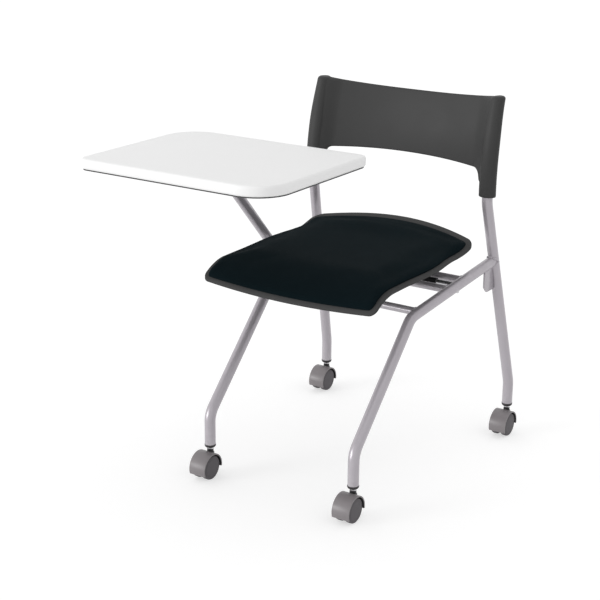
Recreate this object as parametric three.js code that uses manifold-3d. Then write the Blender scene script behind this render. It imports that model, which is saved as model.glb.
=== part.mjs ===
// A nesting chair on four twin-wheel casters, with a seat that tips up and a writing tablet
// on a slanted arm at the sitter's right. Millimetres, +Z up, the sitter faces -Y. Until the last
// lines x = 0 is the plane that the frame is mirrored in, and y = 0 the rear casters' stems.
import * as THREE from 'three';
import { mergeVertices } from 'three/addons/utils/BufferGeometryUtils.js';
import Module from 'manifold-3d';

const wasm = await Module();
wasm.setup();

// Fits
const seatGap = 0.3; // between pieces that touch
const runGap = 0.35; // round a piece that turns
const overrun = 4; // how far a cut passes the face it opens

// Steel frame
const tubeDiameter = 22.2;
const tubeWall = 1.6;
const crossTubeDiameter = 15.9;
const crossTubeWall = 1.5;
const legBendRadius = 42;
const kneeBendRadius = 70;
const legEndHeight = 66.5;
const wheelbase = 539.3;
const frontHalfTrack = 168.6;
const rearHalfTrack = 231.9;
const frontBendHeight = 133.2;
const rearBendHeight = 117;
const armHalfSpan = 168; // where the front leg bends into the side arm
const armFrontY = -333.1;
const armFrontDrop = 93.9; // from the seat's height
const armRearDrop = 32.2; // from the seat's height, where the side arm meets the rear upright
const kneeHalfSpan = 208.5;
const kneeY = -102.6;
const kneeHeight = 532.8;
const uprightTopHalfSpan = 205;
const uprightTopY = -73;
const uprightTopHeight = 728;
const uprightBow = 8.5; // how far the upright bows forward, halfway from the knee to its top
const uprightBowShares = [0.25, 0.5, 0.75]; // where its bowed run is bent, from the knee
const crossTubeFrontY = -308.9;
const crossTubeMiddleY = -211.5;
const crossTubeRearY = -167.8;
const nestingStopThickness = 4;
const nestingStopDepth = 30;
const nestingStopHeight = 62;
const nestingStopChamfer = 12;
const nestingStopTopDrop = 5.55; // from the side arm's axis

// Seat hinge
const hingeY = -190;
const hingeRodDiameter = 10;
const hingeRodInset = 4; // how far the rod reaches past the side arm's axis
const lockScrewDiameter = 5;
const lockScrewHeadDiameter = 8.5;
const lockScrewHeadHeight = 3.2;
const panHeadTopShare = 0.7; // of a screw head's width

// Seat shell and pad
const seatHeight = 438.4; // the shell's flat middle, at its edge
const seatRearY = -74;
const seatFrontY = -531.5;
const seatWidthShares = [0, 0.15, 0.27, 0.5, 0.75, 1]; // of the seat's depth, from the rear
const seatHalfWidths = [197, 193.6, 190.3, 200, 196, 195.7];
const seatRearCorner = 33;
const seatFrontCorner = 12.2;
const seatRearBow = 34.5;
const seatFrontBow = 9;
const seatRearLift = 29.4;
const seatLiftLength = 120;
const seatFrontDrop = 33.7;
const seatDropLength = 81.3;
const seatDish = 7;
const seatLiftPower = 1.68;
const seatDropPower = 2;
const shellThickness = 8;
const shellDraft = 3; // the underside's outline lies this far inside the rim
const padInset = 9;
const padThickness = 19;
const padCrown = 5;
const padBulge = 3;
const padSpreadPower = 0.8; // below 1 it brings the pad's rows together at the rim
const padEdgePower = 6;
const padBulgePower = 8;
const padSide = 5; // how high the pad's side stands before it rounds over
const padTuck = 3; // how far the pad's side reaches into the shell before it is cut to it

// Seat brackets
const bracketX = 66;
const bracketWebWidth = 16;
const bracketBossWidth = 28;
const bracketBossRadius = 12;
const bracketSleeveDiameter = 15;
const bracketSleeveEndX = 148; // how far out the boss's thin sleeve reaches along the rod
const bracketFlangeWidth = 48;
const bracketFlangeThickness = 5;
const bracketRearY = -158;
const bracketFrontY = -334;
const bracketFootWidth = 30;
const bracketWebDepth = 22;
const bracketClearance = 36; // from the rod's axis, where the web swings past the rear cross tube
const neckRearAngle = 114; // degrees, counted from straight back over the top
const neckFrontAngle = 162;
const neckSpread = 8; // degrees, how much wider the neck is at the boss
const seatScrewDiameter = 5;
const seatScrewHeadDiameter = 10;
const seatScrewHeadHeight = 3.5;
const seatScrewGrip = 5; // how far a screw enters the shell
const seatScrewOffset = 16; // from the bracket's middle, outwards
const bumperThickness = 6;
const bumperWrap = 26;
const bumperWidth = 22;

// Backrest
const sleeveBottomShare = 0.0676; // of the upright's rise above its knee
const backBottomShare = 0.375;
const backTopRise = 17; // above the uprights' ends
const backTopDip = 11;
const backBottomArch = 9;
const backFilletDrop = 32;
const sleeveHalfWidth = 18;
const sleeveTopHalfWidth = 15.2;
const sleeveTaperShares = [0.5, 1]; // of the sleeve's height
const sleeveHalfDepth = 14.5;
const sleeveTopInset = 4;
const sleeveLevelShares = [0.2, 0.4, 0.6, 0.8]; // of the sleeve's height
const backHollow = 30; // how far the middle lies behind the sleeves
const backHollowPower = 2.2;
const backTopPower = 2.4;
const backFilletShares = [0.72, 1]; // of the way from the middle to a sleeve
const backThickness = 6;

// Writing tablet
const tabletWidth = 419;
const tabletDepth = 328;
const tabletMiddleX = -81;
const tabletMiddleY = -602.5;
const tabletUnderside = 660;
const tabletThickness = 20;
const tabletBackingThickness = 2;
const tabletBackingInset = 0.8;
const tabletTipCorner = 20;
const tabletRoundCorner = 70;
const tabletEdgeRound = 5;

// Tablet arm and its pivot
const armTubeDiameter = 21.7;
const armTubeWall = 1.8;
const armTubeX = -217;
const armFootY = -213.5; // where the arm's axis passes the side arm's axis, seen from the side
const armFootTail = 14;
const armElbowY = -464.2336; // where its slanted run meets its level run
const armBendRadius = 45;
const spindleHeight = 640;
const spindleEndY = -642;
const armPlateThickness = 6;
const armPlateLength = 110;
const armPlateTail = 16; // how far the plate reaches behind the arm's foot
const armPlateHeight = 34;
const armBoltSetback = 32; // from the arm's foot to the first bolt, along the side arm
const armBoltSpacing = 46;
const armBoltDiameter = 8;
const armBoltHeadWidth = 14.5;
const armBoltHeadHeight = 5.5;
const hexSides = 6;
const endCapThickness = 3;
const endCapPlug = 14;
const endCapTopShare = 0.8; // of the cap's width
const pivotRearY = -520;
const pivotFrontY = -616;
const pivotWidth = 30;
const pivotBossRadius = 16;
const pivotFlangeWidth = 74;
const pivotFlangeThickness = 6;
const pivotScrewSpread = 54;
const pivotScrewDiameter = 5;
const pivotScrewHeadDiameter = 9.5;
const pivotScrewHeadHeight = 3;
const pivotScrewGrip = 9;
const stopLugReach = 52;
const stopLugWidth = 40;
const stopLugThickness = 5;
const restBumperDiameter = 18;
const restBumperTopShare = 0.84; // of the bumper's width
const restBumperPlug = 6;

// Casters
const wheelDiameter = 50;
const wheelWidth = 14.5;
const wheelShoulder = 2.4;
const wheelHubRecess = 0.8;
const wheelRimRadius = 19;
const finWidth = 7;
const wheelSideGap = 0.8;
const casterTrail = 16;
const axleDiameter = 6;
const hoodClearance = 1.6;
const hoodWall = 3.4;
const hoodFrontBottomHeight = 14.5;
const hoodRearBottomHeight = 20.5;
const hoodTopHeight = 57.7;
const hoodBossRadius = 6.6;
const stemDiameter = 8;
const stemGripDiameter = 11;
const stemCollarDiameter = 12.2;
const stemCollarHeight = 3.3;
const stemTopHeight = 88;
const stemBottomHeight = 38;
const ferruleFlange = 4.6;
const ferruleChamfer = 3.6;
const ferruleLength = 28;

// Facets
const tubeSides = 8; // for a half circle
const crossTubeSides = 6;
const bendSteps = 4;
const gentleTurn = Math.PI / 36; // a bend below this has one ring
const wheelSegments = 16;
const smallSegments = 8;
const boreSegments = 12;
const fineSegments = 20;
const shellRows = 18;
const shellColumns = 12;
const padRows = 20;
const padColumns = 16;
const panelRows = 6;
const panelColumns = 20;
const tabletCornerSteps = 5;
const tabletEdgeSteps = 2;

// Sizes that follow
const tubeRadius = tubeDiameter / 2;
const armTubeRadius = armTubeDiameter / 2;
const crossTubeRadius = crossTubeDiameter / 2;
const wheelRadius = wheelDiameter / 2;
const axleRadius = axleDiameter / 2;
const casterHalfWidth = finWidth / 2 + wheelSideGap + wheelWidth;

function onLine(from, to, key, value) {
  const share = (value - from[key]) / (to[key] - from[key]);
  return from.clone().lerp(to, share);
}

const rearLow = new THREE.Vector3(rearHalfTrack, 0, rearBendHeight);
const knee = new THREE.Vector3(kneeHalfSpan, kneeY, kneeHeight);
const uprightTop = new THREE.Vector3(uprightTopHalfSpan, uprightTopY, uprightTopHeight);
const uprightRise = uprightTopHeight - kneeHeight;
const sleeveBottomHeight = kneeHeight + sleeveBottomShare * uprightRise;
const backBottomHeight = kneeHeight + backBottomShare * uprightRise;
const backTopHeight = uprightTopHeight + backTopRise;
const armRear = onLine(rearLow, knee, 'z', seatHeight - armRearDrop);
const armFront = new THREE.Vector3(armHalfSpan, armFrontY, seatHeight - armFrontDrop);
const hingeOnArm = onLine(armFront, armRear, 'y', hingeY);
const hingeZ = hingeOnArm.z;

function mirrored(point) {
  return new THREE.Vector3(-point.x, point.y, point.z);
}

function onSide(point, side) {
  return side > 0 ? point.clone() : mirrored(point);
}

// Materials
function finish(color, roughness, metalness) {
  return new THREE.MeshStandardMaterial({ color, roughness, metalness });
}

const silver = finish(0xa39ea4, 0.42, 0.55);
const brightSteel = finish(0xc8c8cc, 0.25, 0.95);
const darkPlastic = finish(0x484949, 0.6, 0);
const blackPlastic = finish(0x1c1c1d, 0.55, 0);
const casterGrey = finish(0x716d6e, 0.5, 0);
const wheelGrey = finish(0x625d63, 0.65, 0);
const padCloth = finish(0x18191c, 0.95, 0);
const tabletWhite = finish(0xf2f2f0, 0.35, 0);
const tabletDark = finish(0x3b3b3d, 0.7, 0);
const softRubber = finish(0x18181a, 0.85, 0);

// Solids in and out of the boolean library
function solidOf(geometry) {
  const bare = geometry.clone();
  bare.deleteAttribute('normal');
  bare.deleteAttribute('uv');
  const merged = mergeVertices(bare);
  const vertProperties = new Float32Array(merged.attributes.position.array);
  const triVerts = new Uint32Array(merged.index.array);
  return new wasm.Manifold(new wasm.Mesh({ numProp: 3, vertProperties, triVerts }));
}

function geometryOf(solid) {
  const mesh = solid.getMesh();
  const geometry = new THREE.BufferGeometry();
  geometry.setAttribute('position', new THREE.BufferAttribute(new Float32Array(mesh.vertProperties), 3));
  geometry.setIndex(new THREE.BufferAttribute(new Uint32Array(mesh.triVerts), 1));
  return geometry;
}

function combine(bodies, cuts = []) {
  let solid = solidOf(bodies[0]);
  for (const body of bodies.slice(1)) {
    solid = solid.add(solidOf(body));
  }
  for (const cut of cuts) {
    solid = solid.subtract(solidOf(cut));
  }
  return geometryOf(solid);
}

// A path of straight runs joined by arcs, with its rings only where it bends
class BentPath extends THREE.Curve {
  constructor(corners, radius) {
    super();
    this.stations = [];
    const runs = corners.slice(1).map((corner, index) => corner.clone().sub(corners[index]).normalize());
    this.addStation(corners[0], runs[0]);
    for (let index = 1; index < corners.length - 1; index += 1) {
      this.addBend(corners[index], runs[index - 1], runs[index], radius);
    }
    this.addStation(corners[corners.length - 1], runs[runs.length - 1]);
  }

  addStation(point, tangent) {
    this.stations.push({ point: point.clone(), tangent: tangent.clone() });
  }

  addBend(corner, before, after, radius) {
    const turn = before.angleTo(after);
    if (turn < gentleTurn) {
      this.addStation(corner, before.clone().add(after).normalize());
      return;
    }
    const reach = radius * Math.tan(turn / 2);
    const start = corner.clone().addScaledVector(before, -reach);
    const inward = after.clone().addScaledVector(before, -after.dot(before)).normalize();
    const centre = start.clone().addScaledVector(inward, radius);
    for (let step = 0; step <= bendSteps; step += 1) {
      const angle = turn * step / bendSteps;
      const point = centre.clone()
        .addScaledVector(inward, -radius * Math.cos(angle))
        .addScaledVector(before, radius * Math.sin(angle));
      const tangent = before.clone()
        .multiplyScalar(Math.cos(angle))
        .addScaledVector(inward, Math.sin(angle));
      this.addStation(point, tangent);
    }
  }

  station(t) {
    return this.stations[Math.round(t * (this.stations.length - 1))];
  }

  getPoint(t, target = new THREE.Vector3()) {
    return target.copy(this.station(t).point);
  }

  getTangent(t, target = new THREE.Vector3()) {
    return target.copy(this.station(t).tangent);
  }

  getUtoTmapping(u) {
    return u;
  }
}

function ringShape(radius, wall) {
  const shape = new THREE.Shape().absarc(0, 0, radius, 0, Math.PI * 2, false);
  if (wall > 0) {
    shape.holes.push(new THREE.Path().absarc(0, 0, radius - wall, 0, Math.PI * 2, true));
  }
  return shape;
}

function tube(corners, radius, wall, bendRadius, sides = tubeSides) {
  const path = new BentPath(corners, bendRadius);
  return new THREE.ExtrudeGeometry(ringShape(radius, wall), {
    steps: path.stations.length - 1,
    curveSegments: sides,
    extrudePath: path,
  });
}

function rod(from, to, radius, segments = smallSegments) {
  const axis = to.clone().sub(from);
  const geometry = new THREE.CylinderGeometry(radius, radius, axis.length(), segments);
  geometry.applyQuaternion(new THREE.Quaternion().setFromUnitVectors(new THREE.Vector3(0, 1, 0),
    axis.clone().normalize()));
  const middle = from.clone().add(to).multiplyScalar(0.5);
  return geometry.translate(middle.x, middle.y, middle.z);
}

function boxBetween(low, high) {
  const size = high.clone().sub(low);
  const middle = high.clone().add(low).multiplyScalar(0.5);
  return new THREE.BoxGeometry(size.x, size.y, size.z).translate(middle.x, middle.y, middle.z);
}

// A lathe turned about +Z, from pairs of radius and height
function turned(profile, segments = smallSegments) {
  const points = profile.map(([radius, height]) => new THREE.Vector2(radius, height));
  return new THREE.LatheGeometry(points, segments).rotateX(Math.PI / 2);
}

function closedTurned(profile, segments = smallSegments) {
  return turned([...profile, profile[0]], segments);
}

// Extrudes an outline drawn in the YZ plane along X, centred on x
function slabAcross(shape, x, width, curveSegments = smallSegments) {
  const geometry = new THREE.ExtrudeGeometry(shape, { depth: width, bevelEnabled: false, curveSegments });
  geometry.applyMatrix4(new THREE.Matrix4().makeBasis(
    new THREE.Vector3(0, 1, 0), new THREE.Vector3(0, 0, 1), new THREE.Vector3(1, 0, 0)));
  return geometry.translate(x - width / 2, 0, 0);
}

// A closed skin over two matching grids of points, upper and lower
function gridSolid(rows, columns, upper, lower) {
  const positions = [];
  const index = [];
  const across = columns + 1;
  const layer = (rows + 1) * across;
  for (const surface of [upper, lower]) {
    for (let row = 0; row <= rows; row += 1) {
      for (let column = 0; column <= columns; column += 1) {
        positions.push(...surface(column / columns * 2 - 1, row / rows).toArray());
      }
    }
  }
  const quad = (a, b, c, d) => index.push(a, b, c, a, c, d);
  for (let row = 0; row < rows; row += 1) {
    for (let column = 0; column < columns; column += 1) {
      const a = row * across + column;
      quad(a, a + across, a + across + 1, a + 1);
      quad(layer + a, layer + a + 1, layer + a + across + 1, layer + a + across);
    }
    const left = row * across;
    const right = left + columns;
    quad(left, layer + left, layer + left + across, left + across);
    quad(right + across, layer + right + across, layer + right, right);
  }
  for (let column = 0; column < columns; column += 1) {
    const far = rows * across + column;
    quad(column + 1, layer + column + 1, layer + column, column);
    quad(far, layer + far, layer + far + 1, far + 1);
  }
  const geometry = new THREE.BufferGeometry();
  geometry.setAttribute('position', new THREE.Float32BufferAttribute(positions, 3));
  geometry.setIndex(index);
  return geometry;
}

// Frame tubes
function frontLegCorners(side) {
  return [
    new THREE.Vector3(frontHalfTrack, -wheelbase, legEndHeight),
    new THREE.Vector3(frontHalfTrack, -wheelbase, frontBendHeight),
    armFront,
    armRear,
  ].map((point) => onSide(point, side));
}

function rearUprightCorners(side) {
  return [
    new THREE.Vector3(rearHalfTrack, 0, legEndHeight),
    rearLow,
    knee,
    ...uprightBowShares.map(bowedUpright),
    uprightTop,
  ].map((point) => onSide(point, side));
}

// The left upright's axis above its knee, by share of the way to its top
function bowedUpright(share) {
  const point = knee.clone().lerp(uprightTop, share);
  point.y -= uprightBow * 4 * share * (1 - share);
  return point;
}

function sideArmCut(side) {
  const corners = [armFront, armRear].map((point) => onSide(point, side));
  return tube(corners, tubeRadius + seatGap, 0, legBendRadius);
}

function uprightCut(side) {
  const corners = [rearLow, knee].map((point) => onSide(point, side));
  return tube(corners, tubeRadius + seatGap, 0, kneeBendRadius);
}

function armNormal(side) {
  const along = armRear.clone().sub(armFront).setZ(0).normalize();
  return onSide(new THREE.Vector3(along.y, -along.x, 0), side);
}

// A point on the right side arm's axis, a distance behind the tablet arm's foot
function behindArmFoot(distance) {
  const foot = mirrored(onLine(armFront, armRear, 'y', armFootY));
  const along = mirrored(armRear).sub(mirrored(armFront)).normalize();
  foot.addScaledVector(along, distance);
  return { foot, along, normal: armNormal(-1) };
}

const armBoltOffsets = [-armBoltSetback, -armBoltSetback - armBoltSpacing];

function frontLegTube(side) {
  const body = tube(frontLegCorners(side), tubeRadius, tubeWall, legBendRadius);
  const hinge = onSide(hingeOnArm, side);
  const inward = new THREE.Vector3(-side * tubeDiameter, 0, 0);
  const cuts = [uprightCut(side)];
  cuts.push(rod(hinge, hinge.clone().add(inward), hingeRodDiameter / 2 + seatGap, boreSegments));
  const below = hinge.clone().setZ(hinge.z - tubeDiameter);
  cuts.push(rod(below, hinge, lockScrewDiameter / 2 + seatGap));
  if (side < 0) {
    for (const offset of armBoltOffsets) {
      const { foot, normal } = behindArmFoot(offset);
      const outer = foot.clone().addScaledVector(normal, tubeDiameter);
      const inner = foot.clone().addScaledVector(normal, -tubeDiameter);
      cuts.push(rod(inner, outer, armBoltDiameter / 2 + seatGap));
    }
  }
  return combine([body], cuts);
}

function rearUpright(side) {
  return tube(rearUprightCorners(side), tubeRadius, tubeWall, kneeBendRadius);
}

function crossTube(y) {
  const left = onLine(armFront, armRear, 'y', y);
  const ends = [mirrored(left), left];
  const body = tube(ends, crossTubeRadius, crossTubeWall, legBendRadius, crossTubeSides);
  return combine([body], [sideArmCut(1), sideArmCut(-1)]);
}

function hingeRod() {
  const reach = new THREE.Vector3(hingeOnArm.x + hingeRodInset, hingeY, hingeZ);
  return rod(mirrored(reach), reach, hingeRodDiameter / 2, boreSegments);
}

function lockScrew(side) {
  const slope = (armRear.z - armFront.z) / (armRear.y - armFront.y);
  const drop = tubeRadius * Math.sqrt(1 + slope * slope) + slope * lockScrewHeadDiameter / 2;
  const seat = hingeZ - drop - seatGap;
  const tip = hingeZ - hingeRodDiameter / 2 - seatGap;
  const screw = turned([
    [0, seat - lockScrewHeadHeight],
    [lockScrewHeadDiameter / 2, seat - lockScrewHeadHeight],
    [lockScrewHeadDiameter / 2, seat],
    [lockScrewDiameter / 2, seat],
    [lockScrewDiameter / 2, tip],
    [0, tip],
  ]);
  return screw.translate(side * hingeOnArm.x, hingeY, 0);
}

function nestingStop(side) {
  const top = armRear.z - nestingStopTopDrop;
  const back = armRear.y;
  const low = armRear.z - nestingStopHeight;
  const lowOnLeg = onLine(rearLow, knee, 'z', low);
  const front = back - tubeRadius - nestingStopDepth;
  const shape = new THREE.Shape();
  shape.moveTo(back, top);
  shape.lineTo(front, top);
  shape.lineTo(front, low + nestingStopChamfer);
  shape.lineTo(front + nestingStopChamfer, low);
  shape.lineTo(lowOnLeg.y, low);
  const plate = slabAcross(shape, side * armRear.x, nestingStopThickness);
  return combine([plate], [uprightCut(side), sideArmCut(side)]);
}

// Casters, drawn with the stem's axis on the origin and the wheels trailing to -Y
function wheel(side) {
  const inner = finWidth / 2 + wheelSideGap;
  const outer = inner + wheelWidth;
  const grown = wheelRadius / Math.cos(Math.PI / wheelSegments);
  const bore = axleRadius + runGap;
  const profile = [
    [bore, inner],
    [wheelRadius - wheelShoulder, inner],
    [grown, inner + wheelShoulder],
    [grown, outer - wheelShoulder],
    [wheelRadius - wheelShoulder, outer],
    [wheelRimRadius, outer],
    [wheelRimRadius - wheelHubRecess, outer - wheelHubRecess],
    [bore, outer - wheelHubRecess],
  ];
  const disc = closedTurned(profile, wheelSegments);
  disc.rotateZ(Math.PI / wheelSegments).rotateY(side * Math.PI / 2);
  return disc.translate(0, -casterTrail, wheelRadius);
}

function casterHood() {
  const cover = wheelRadius + hoodClearance + hoodWall;
  const frontDrop = Math.asin((wheelRadius - hoodFrontBottomHeight) / cover);
  const rearDrop = Math.asin((wheelRadius - hoodRearBottomHeight) / cover);
  const shape = new THREE.Shape();
  shape.absarc(-casterTrail, wheelRadius, cover, -rearDrop, Math.PI + frontDrop, false);
  shape.closePath();
  const body = slabAcross(shape, 0, 2 * casterHalfWidth, fineSegments / 2);
  const boss = turned([
    [0, wheelRadius],
    [hoodBossRadius, wheelRadius],
    [hoodBossRadius, hoodTopHeight],
    [0, hoodTopHeight],
  ], boreSegments);
  const cuts = [];
  for (const direction of [1, -1]) {
    const near = new THREE.Vector3(direction * finWidth / 2, -casterTrail, wheelRadius);
    const far = near.clone().setX(direction * (casterHalfWidth + overrun));
    cuts.push(rod(near, far, wheelRadius + hoodClearance, fineSegments));
  }
  const axleEnd = new THREE.Vector3(casterHalfWidth, -casterTrail, wheelRadius);
  cuts.push(rod(mirrored(axleEnd), axleEnd, axleRadius + seatGap));
  const stemLow = new THREE.Vector3(0, 0, stemBottomHeight - seatGap);
  const stemHigh = new THREE.Vector3(0, 0, hoodTopHeight + overrun);
  cuts.push(rod(stemLow, stemHigh, stemDiameter / 2 + runGap, boreSegments));
  return combine([body, boss], cuts);
}

function casterAxle() {
  const end = new THREE.Vector3(casterHalfWidth - wheelHubRecess, -casterTrail, wheelRadius);
  return rod(mirrored(end), end, axleRadius);
}

function casterStem() {
  const collar = hoodTopHeight + seatGap;
  return turned([
    [0, stemBottomHeight],
    [stemDiameter / 2, stemBottomHeight],
    [stemDiameter / 2, collar],
    [stemCollarDiameter / 2, collar],
    [stemCollarDiameter / 2, collar + stemCollarHeight],
    [stemGripDiameter / 2, collar + stemCollarHeight],
    [stemGripDiameter / 2, stemTopHeight],
    [0, stemTopHeight],
  ]);
}

function legFerrule() {
  const top = legEndHeight - seatGap;
  const low = top - ferruleFlange;
  const plug = tubeRadius - tubeWall - seatGap;
  const bore = stemGripDiameter / 2 + seatGap;
  return closedTurned([
    [bore, low],
    [tubeRadius - ferruleChamfer, low],
    [tubeRadius, low + ferruleChamfer],
    [tubeRadius, top],
    [plug, top],
    [plug, low + ferruleLength],
    [bore, low + ferruleLength],
  ], boreSegments);
}

// Seat surfaces. u runs across from -1 to 1, v runs from the rear edge to the front edge
function cornerLoss(radius, distance) {
  if (distance >= radius) {
    return 0;
  }
  const into = radius - Math.max(distance, 0);
  return radius - Math.sqrt(Math.max(radius * radius - into * into, 0));
}

function eased(v) {
  return (1 - Math.cos(Math.PI * v)) / 2;
}

function seatEdgeHeight(y) {
  const lift = THREE.MathUtils.clamp((y - seatRearY + seatLiftLength) / seatLiftLength, 0, 1);
  const drop = Math.max((seatFrontY + seatDropLength - y) / seatDropLength, 0);
  const raised = seatRearLift * Math.pow(lift, seatLiftPower);
  return seatHeight + raised - seatFrontDrop * Math.pow(drop, seatDropPower);
}

function seatHalfWidth(y) {
  const share = (seatRearY - y) / (seatRearY - seatFrontY);
  let width = seatHalfWidths[0];
  for (let index = 1; index < seatWidthShares.length; index += 1) {
    const passed = THREE.MathUtils.smoothstep(share, seatWidthShares[index - 1], seatWidthShares[index]);
    width += passed * (seatHalfWidths[index] - seatHalfWidths[index - 1]);
  }
  return width;
}

// The point of the seat's plan at u, v, with its outline drawn in by an inset
function seatPlan(u, v, inset) {
  const rear = seatRearY - seatRearBow - inset;
  const front = seatFrontY + seatFrontBow + inset;
  const y = THREE.MathUtils.lerp(rear, front, eased(v));
  const loss = cornerLoss(seatRearCorner - inset, rear - y) + cornerLoss(seatFrontCorner, y - front);
  const x = u * (seatHalfWidth(y) - inset - loss);
  const arch = 1 - u * u;
  const fullBow = 2 * v < 1 ? seatRearBow : seatFrontBow;
  return new THREE.Vector2(x, y + fullBow * arch * (1 - 2 * eased(v)));
}

function seatTop(u, v, inset, rise) {
  const plan = seatPlan(u, v, inset);
  const dish = seatDish * (1 - u * u) * Math.sin(Math.PI * v);
  return new THREE.Vector3(plan.x, plan.y, seatEdgeHeight(plan.y) - dish + rise);
}

function seatShell() {
  const body = gridSolid(shellRows, shellColumns,
    (u, v) => seatTop(u, v, 0, 0),
    (u, v) => seatTop(u, v, shellDraft, -shellThickness));
  const cuts = [];
  for (const side of [1, -1]) {
    for (const place of seatScrewPlaces) {
      cuts.push(seatScrewHole(side, place));
    }
  }
  return combine([body], cuts);
}

// The pad: a crowned top on a base cut to the shell, its sides drawn in above and below
function padSpread(t) {
  return Math.sign(t) * Math.pow(Math.abs(t), padSpreadPower);
}

function padPoint(u, v, top) {
  const across = padSpread(u);
  const along = (padSpread(2 * v - 1) + 1) / 2;
  if (!top) {
    return seatTop(across, along, padInset + padBulge, -padTuck);
  }
  const rim = Math.max(Math.abs(u), Math.abs(2 * v - 1));
  const edge = Math.sqrt(1 - Math.pow(rim, padEdgePower));
  const crown = padCrown * (1 - u * u) * (1 - Math.pow(2 * v - 1, 2));
  const rise = padSide + (padThickness - padCrown - padSide) * edge + crown;
  return seatTop(across, along, padInset + padBulge * (1 - Math.pow(rim, padBulgePower)), rise);
}

function seatPad() {
  const body = gridSolid(padRows, padColumns,
    (u, v) => padPoint(u, v, true),
    (u, v) => padPoint(u, v, false));
  const shellCut = gridSolid(shellRows, shellColumns,
    (u, v) => seatTop(u, v, 0, seatGap),
    (u, v) => seatTop(u, v, 0, -shellThickness));
  return combine([body], [shellCut]);
}

// Seat brackets, each with a boss on the hinge rod and a foot over the front cross tube
const bracketFlangeLow = seatHeight - shellThickness - seatDish - bracketFlangeThickness;
const seatScrewTip = seatHeight - shellThickness + seatScrewGrip / 2;
const seatScrewPlaces = [bracketRearY - bracketFootWidth, bracketFrontY + bracketFootWidth];

function shellUnderCut() {
  return gridSolid(shellRows, shellColumns,
    (u, v) => seatTop(u, v, 0, seatRearLift),
    (u, v) => seatTop(u, v, 0, -shellThickness - seatGap));
}

function seatScrewHole(side, y) {
  const x = side * (bracketX + seatScrewOffset);
  const low = new THREE.Vector3(x, y, bracketFlangeLow - overrun);
  const high = new THREE.Vector3(x, y, seatScrewTip + seatGap);
  return rod(low, high, seatScrewDiameter / 2 + seatGap);
}

function seatScrew(side, y) {
  const seat = bracketFlangeLow - seatGap;
  const screw = turned([
    [0, seat - seatScrewHeadHeight],
    [panHeadTopShare * seatScrewHeadDiameter / 2, seat - seatScrewHeadHeight],
    [seatScrewHeadDiameter / 2, seat - seatScrewHeadHeight / 2],
    [seatScrewHeadDiameter / 2, seat],
    [seatScrewDiameter / 2, seat],
    [seatScrewDiameter / 2, seatScrewTip],
    [0, seatScrewTip],
  ]);
  return screw.translate(side * (bracketX + seatScrewOffset), y, 0);
}

function frontTubePlace() {
  return onLine(armFront, armRear, 'y', crossTubeFrontY);
}

function roundTheRod(radius, degrees) {
  const angle = THREE.MathUtils.degToRad(degrees);
  return [hingeY + radius * Math.cos(angle), hingeZ + radius * Math.sin(angle)];
}

function bracketOutline() {
  const footZ = frontTubePlace().z + crossTubeRadius + bumperThickness + 2 * seatGap;
  const webLow = bracketFlangeLow - bracketWebDepth;
  const footRear = crossTubeFrontY + bracketFootWidth / 2;
  const footFront = crossTubeFrontY - bracketFootWidth / 2;
  const neckFront = roundTheRod(bracketClearance, neckFrontAngle);
  const shape = new THREE.Shape();
  shape.moveTo(bracketRearY, seatHeight);
  shape.lineTo(bracketFrontY, seatHeight);
  shape.lineTo(bracketFrontY, bracketFlangeLow);
  shape.lineTo(footFront, footZ + bracketFootWidth / 2);
  shape.lineTo(footFront, footZ);
  shape.lineTo(footRear, footZ);
  shape.lineTo(footRear + bracketFootWidth / 2, webLow);
  shape.lineTo(neckFront[0] - bracketBossRadius, webLow);
  shape.lineTo(...neckFront);
  const bossStart = THREE.MathUtils.degToRad(neckFrontAngle + neckSpread);
  const bossEnd = THREE.MathUtils.degToRad(neckRearAngle - neckSpread) + 2 * Math.PI;
  shape.absarc(hingeY, hingeZ, bracketBossRadius, bossStart, bossEnd, false);
  shape.lineTo(...roundTheRod(bracketClearance, neckRearAngle));
  shape.lineTo(hingeY + bracketBossRadius, hingeZ + bracketClearance);
  shape.lineTo(bracketRearY, bracketFlangeLow);
  return shape;
}

function seatBracket(side) {
  const x = side * bracketX;
  const web = slabAcross(bracketOutline(), x, bracketWebWidth);
  const flange = boxBetween(
    new THREE.Vector3(x - bracketFlangeWidth / 2, bracketFrontY, bracketFlangeLow),
    new THREE.Vector3(x + bracketFlangeWidth / 2, bracketRearY, seatHeight));
  const boss = slabAcross(ringShape(bracketBossRadius, 0), x, bracketBossWidth).translate(0, hingeY, hingeZ);
  const middle = new THREE.Vector3(x, hingeY, hingeZ);
  const sleeveEnd = middle.clone().setX(side * bracketSleeveEndX);
  const sleeve = rod(middle, sleeveEnd, bracketSleeveDiameter / 2, boreSegments);
  const boreEnd = new THREE.Vector3(side * hingeOnArm.x, hingeY, hingeZ);
  const boreStart = new THREE.Vector3(0, hingeY, hingeZ);
  const bore = rod(boreStart, boreEnd, hingeRodDiameter / 2 + runGap, boreSegments);
  const cuts = [bore, shellUnderCut()];
  for (const place of seatScrewPlaces) {
    cuts.push(seatScrewHole(side, place));
  }
  return combine([web, flange, boss, sleeve], cuts);
}

// A rubber saddle that clips on the front cross tube under each bracket's foot
function seatBumper(side) {
  const place = frontTubePlace();
  const inner = crossTubeRadius + seatGap;
  const shape = new THREE.Shape();
  shape.moveTo(place.y - bumperWrap / 2, place.z);
  shape.lineTo(place.y + bumperWrap / 2, place.z);
  shape.lineTo(place.y + bumperWrap / 2, place.z + inner + bumperThickness);
  shape.lineTo(place.y - bumperWrap / 2, place.z + inner + bumperThickness);
  const block = slabAcross(shape, side * bracketX, bumperWidth);
  const near = new THREE.Vector3(side * (bracketX - bumperWidth), place.y, place.z);
  const far = near.clone().setX(side * (bracketX + bumperWidth));
  return combine([block], [rod(near, far, inner, boreSegments)]);
}

// Backrest shell with a sleeve over each upright
function backLine(z) {
  return bowedUpright((z - kneeHeight) / uprightRise);
}

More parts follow.
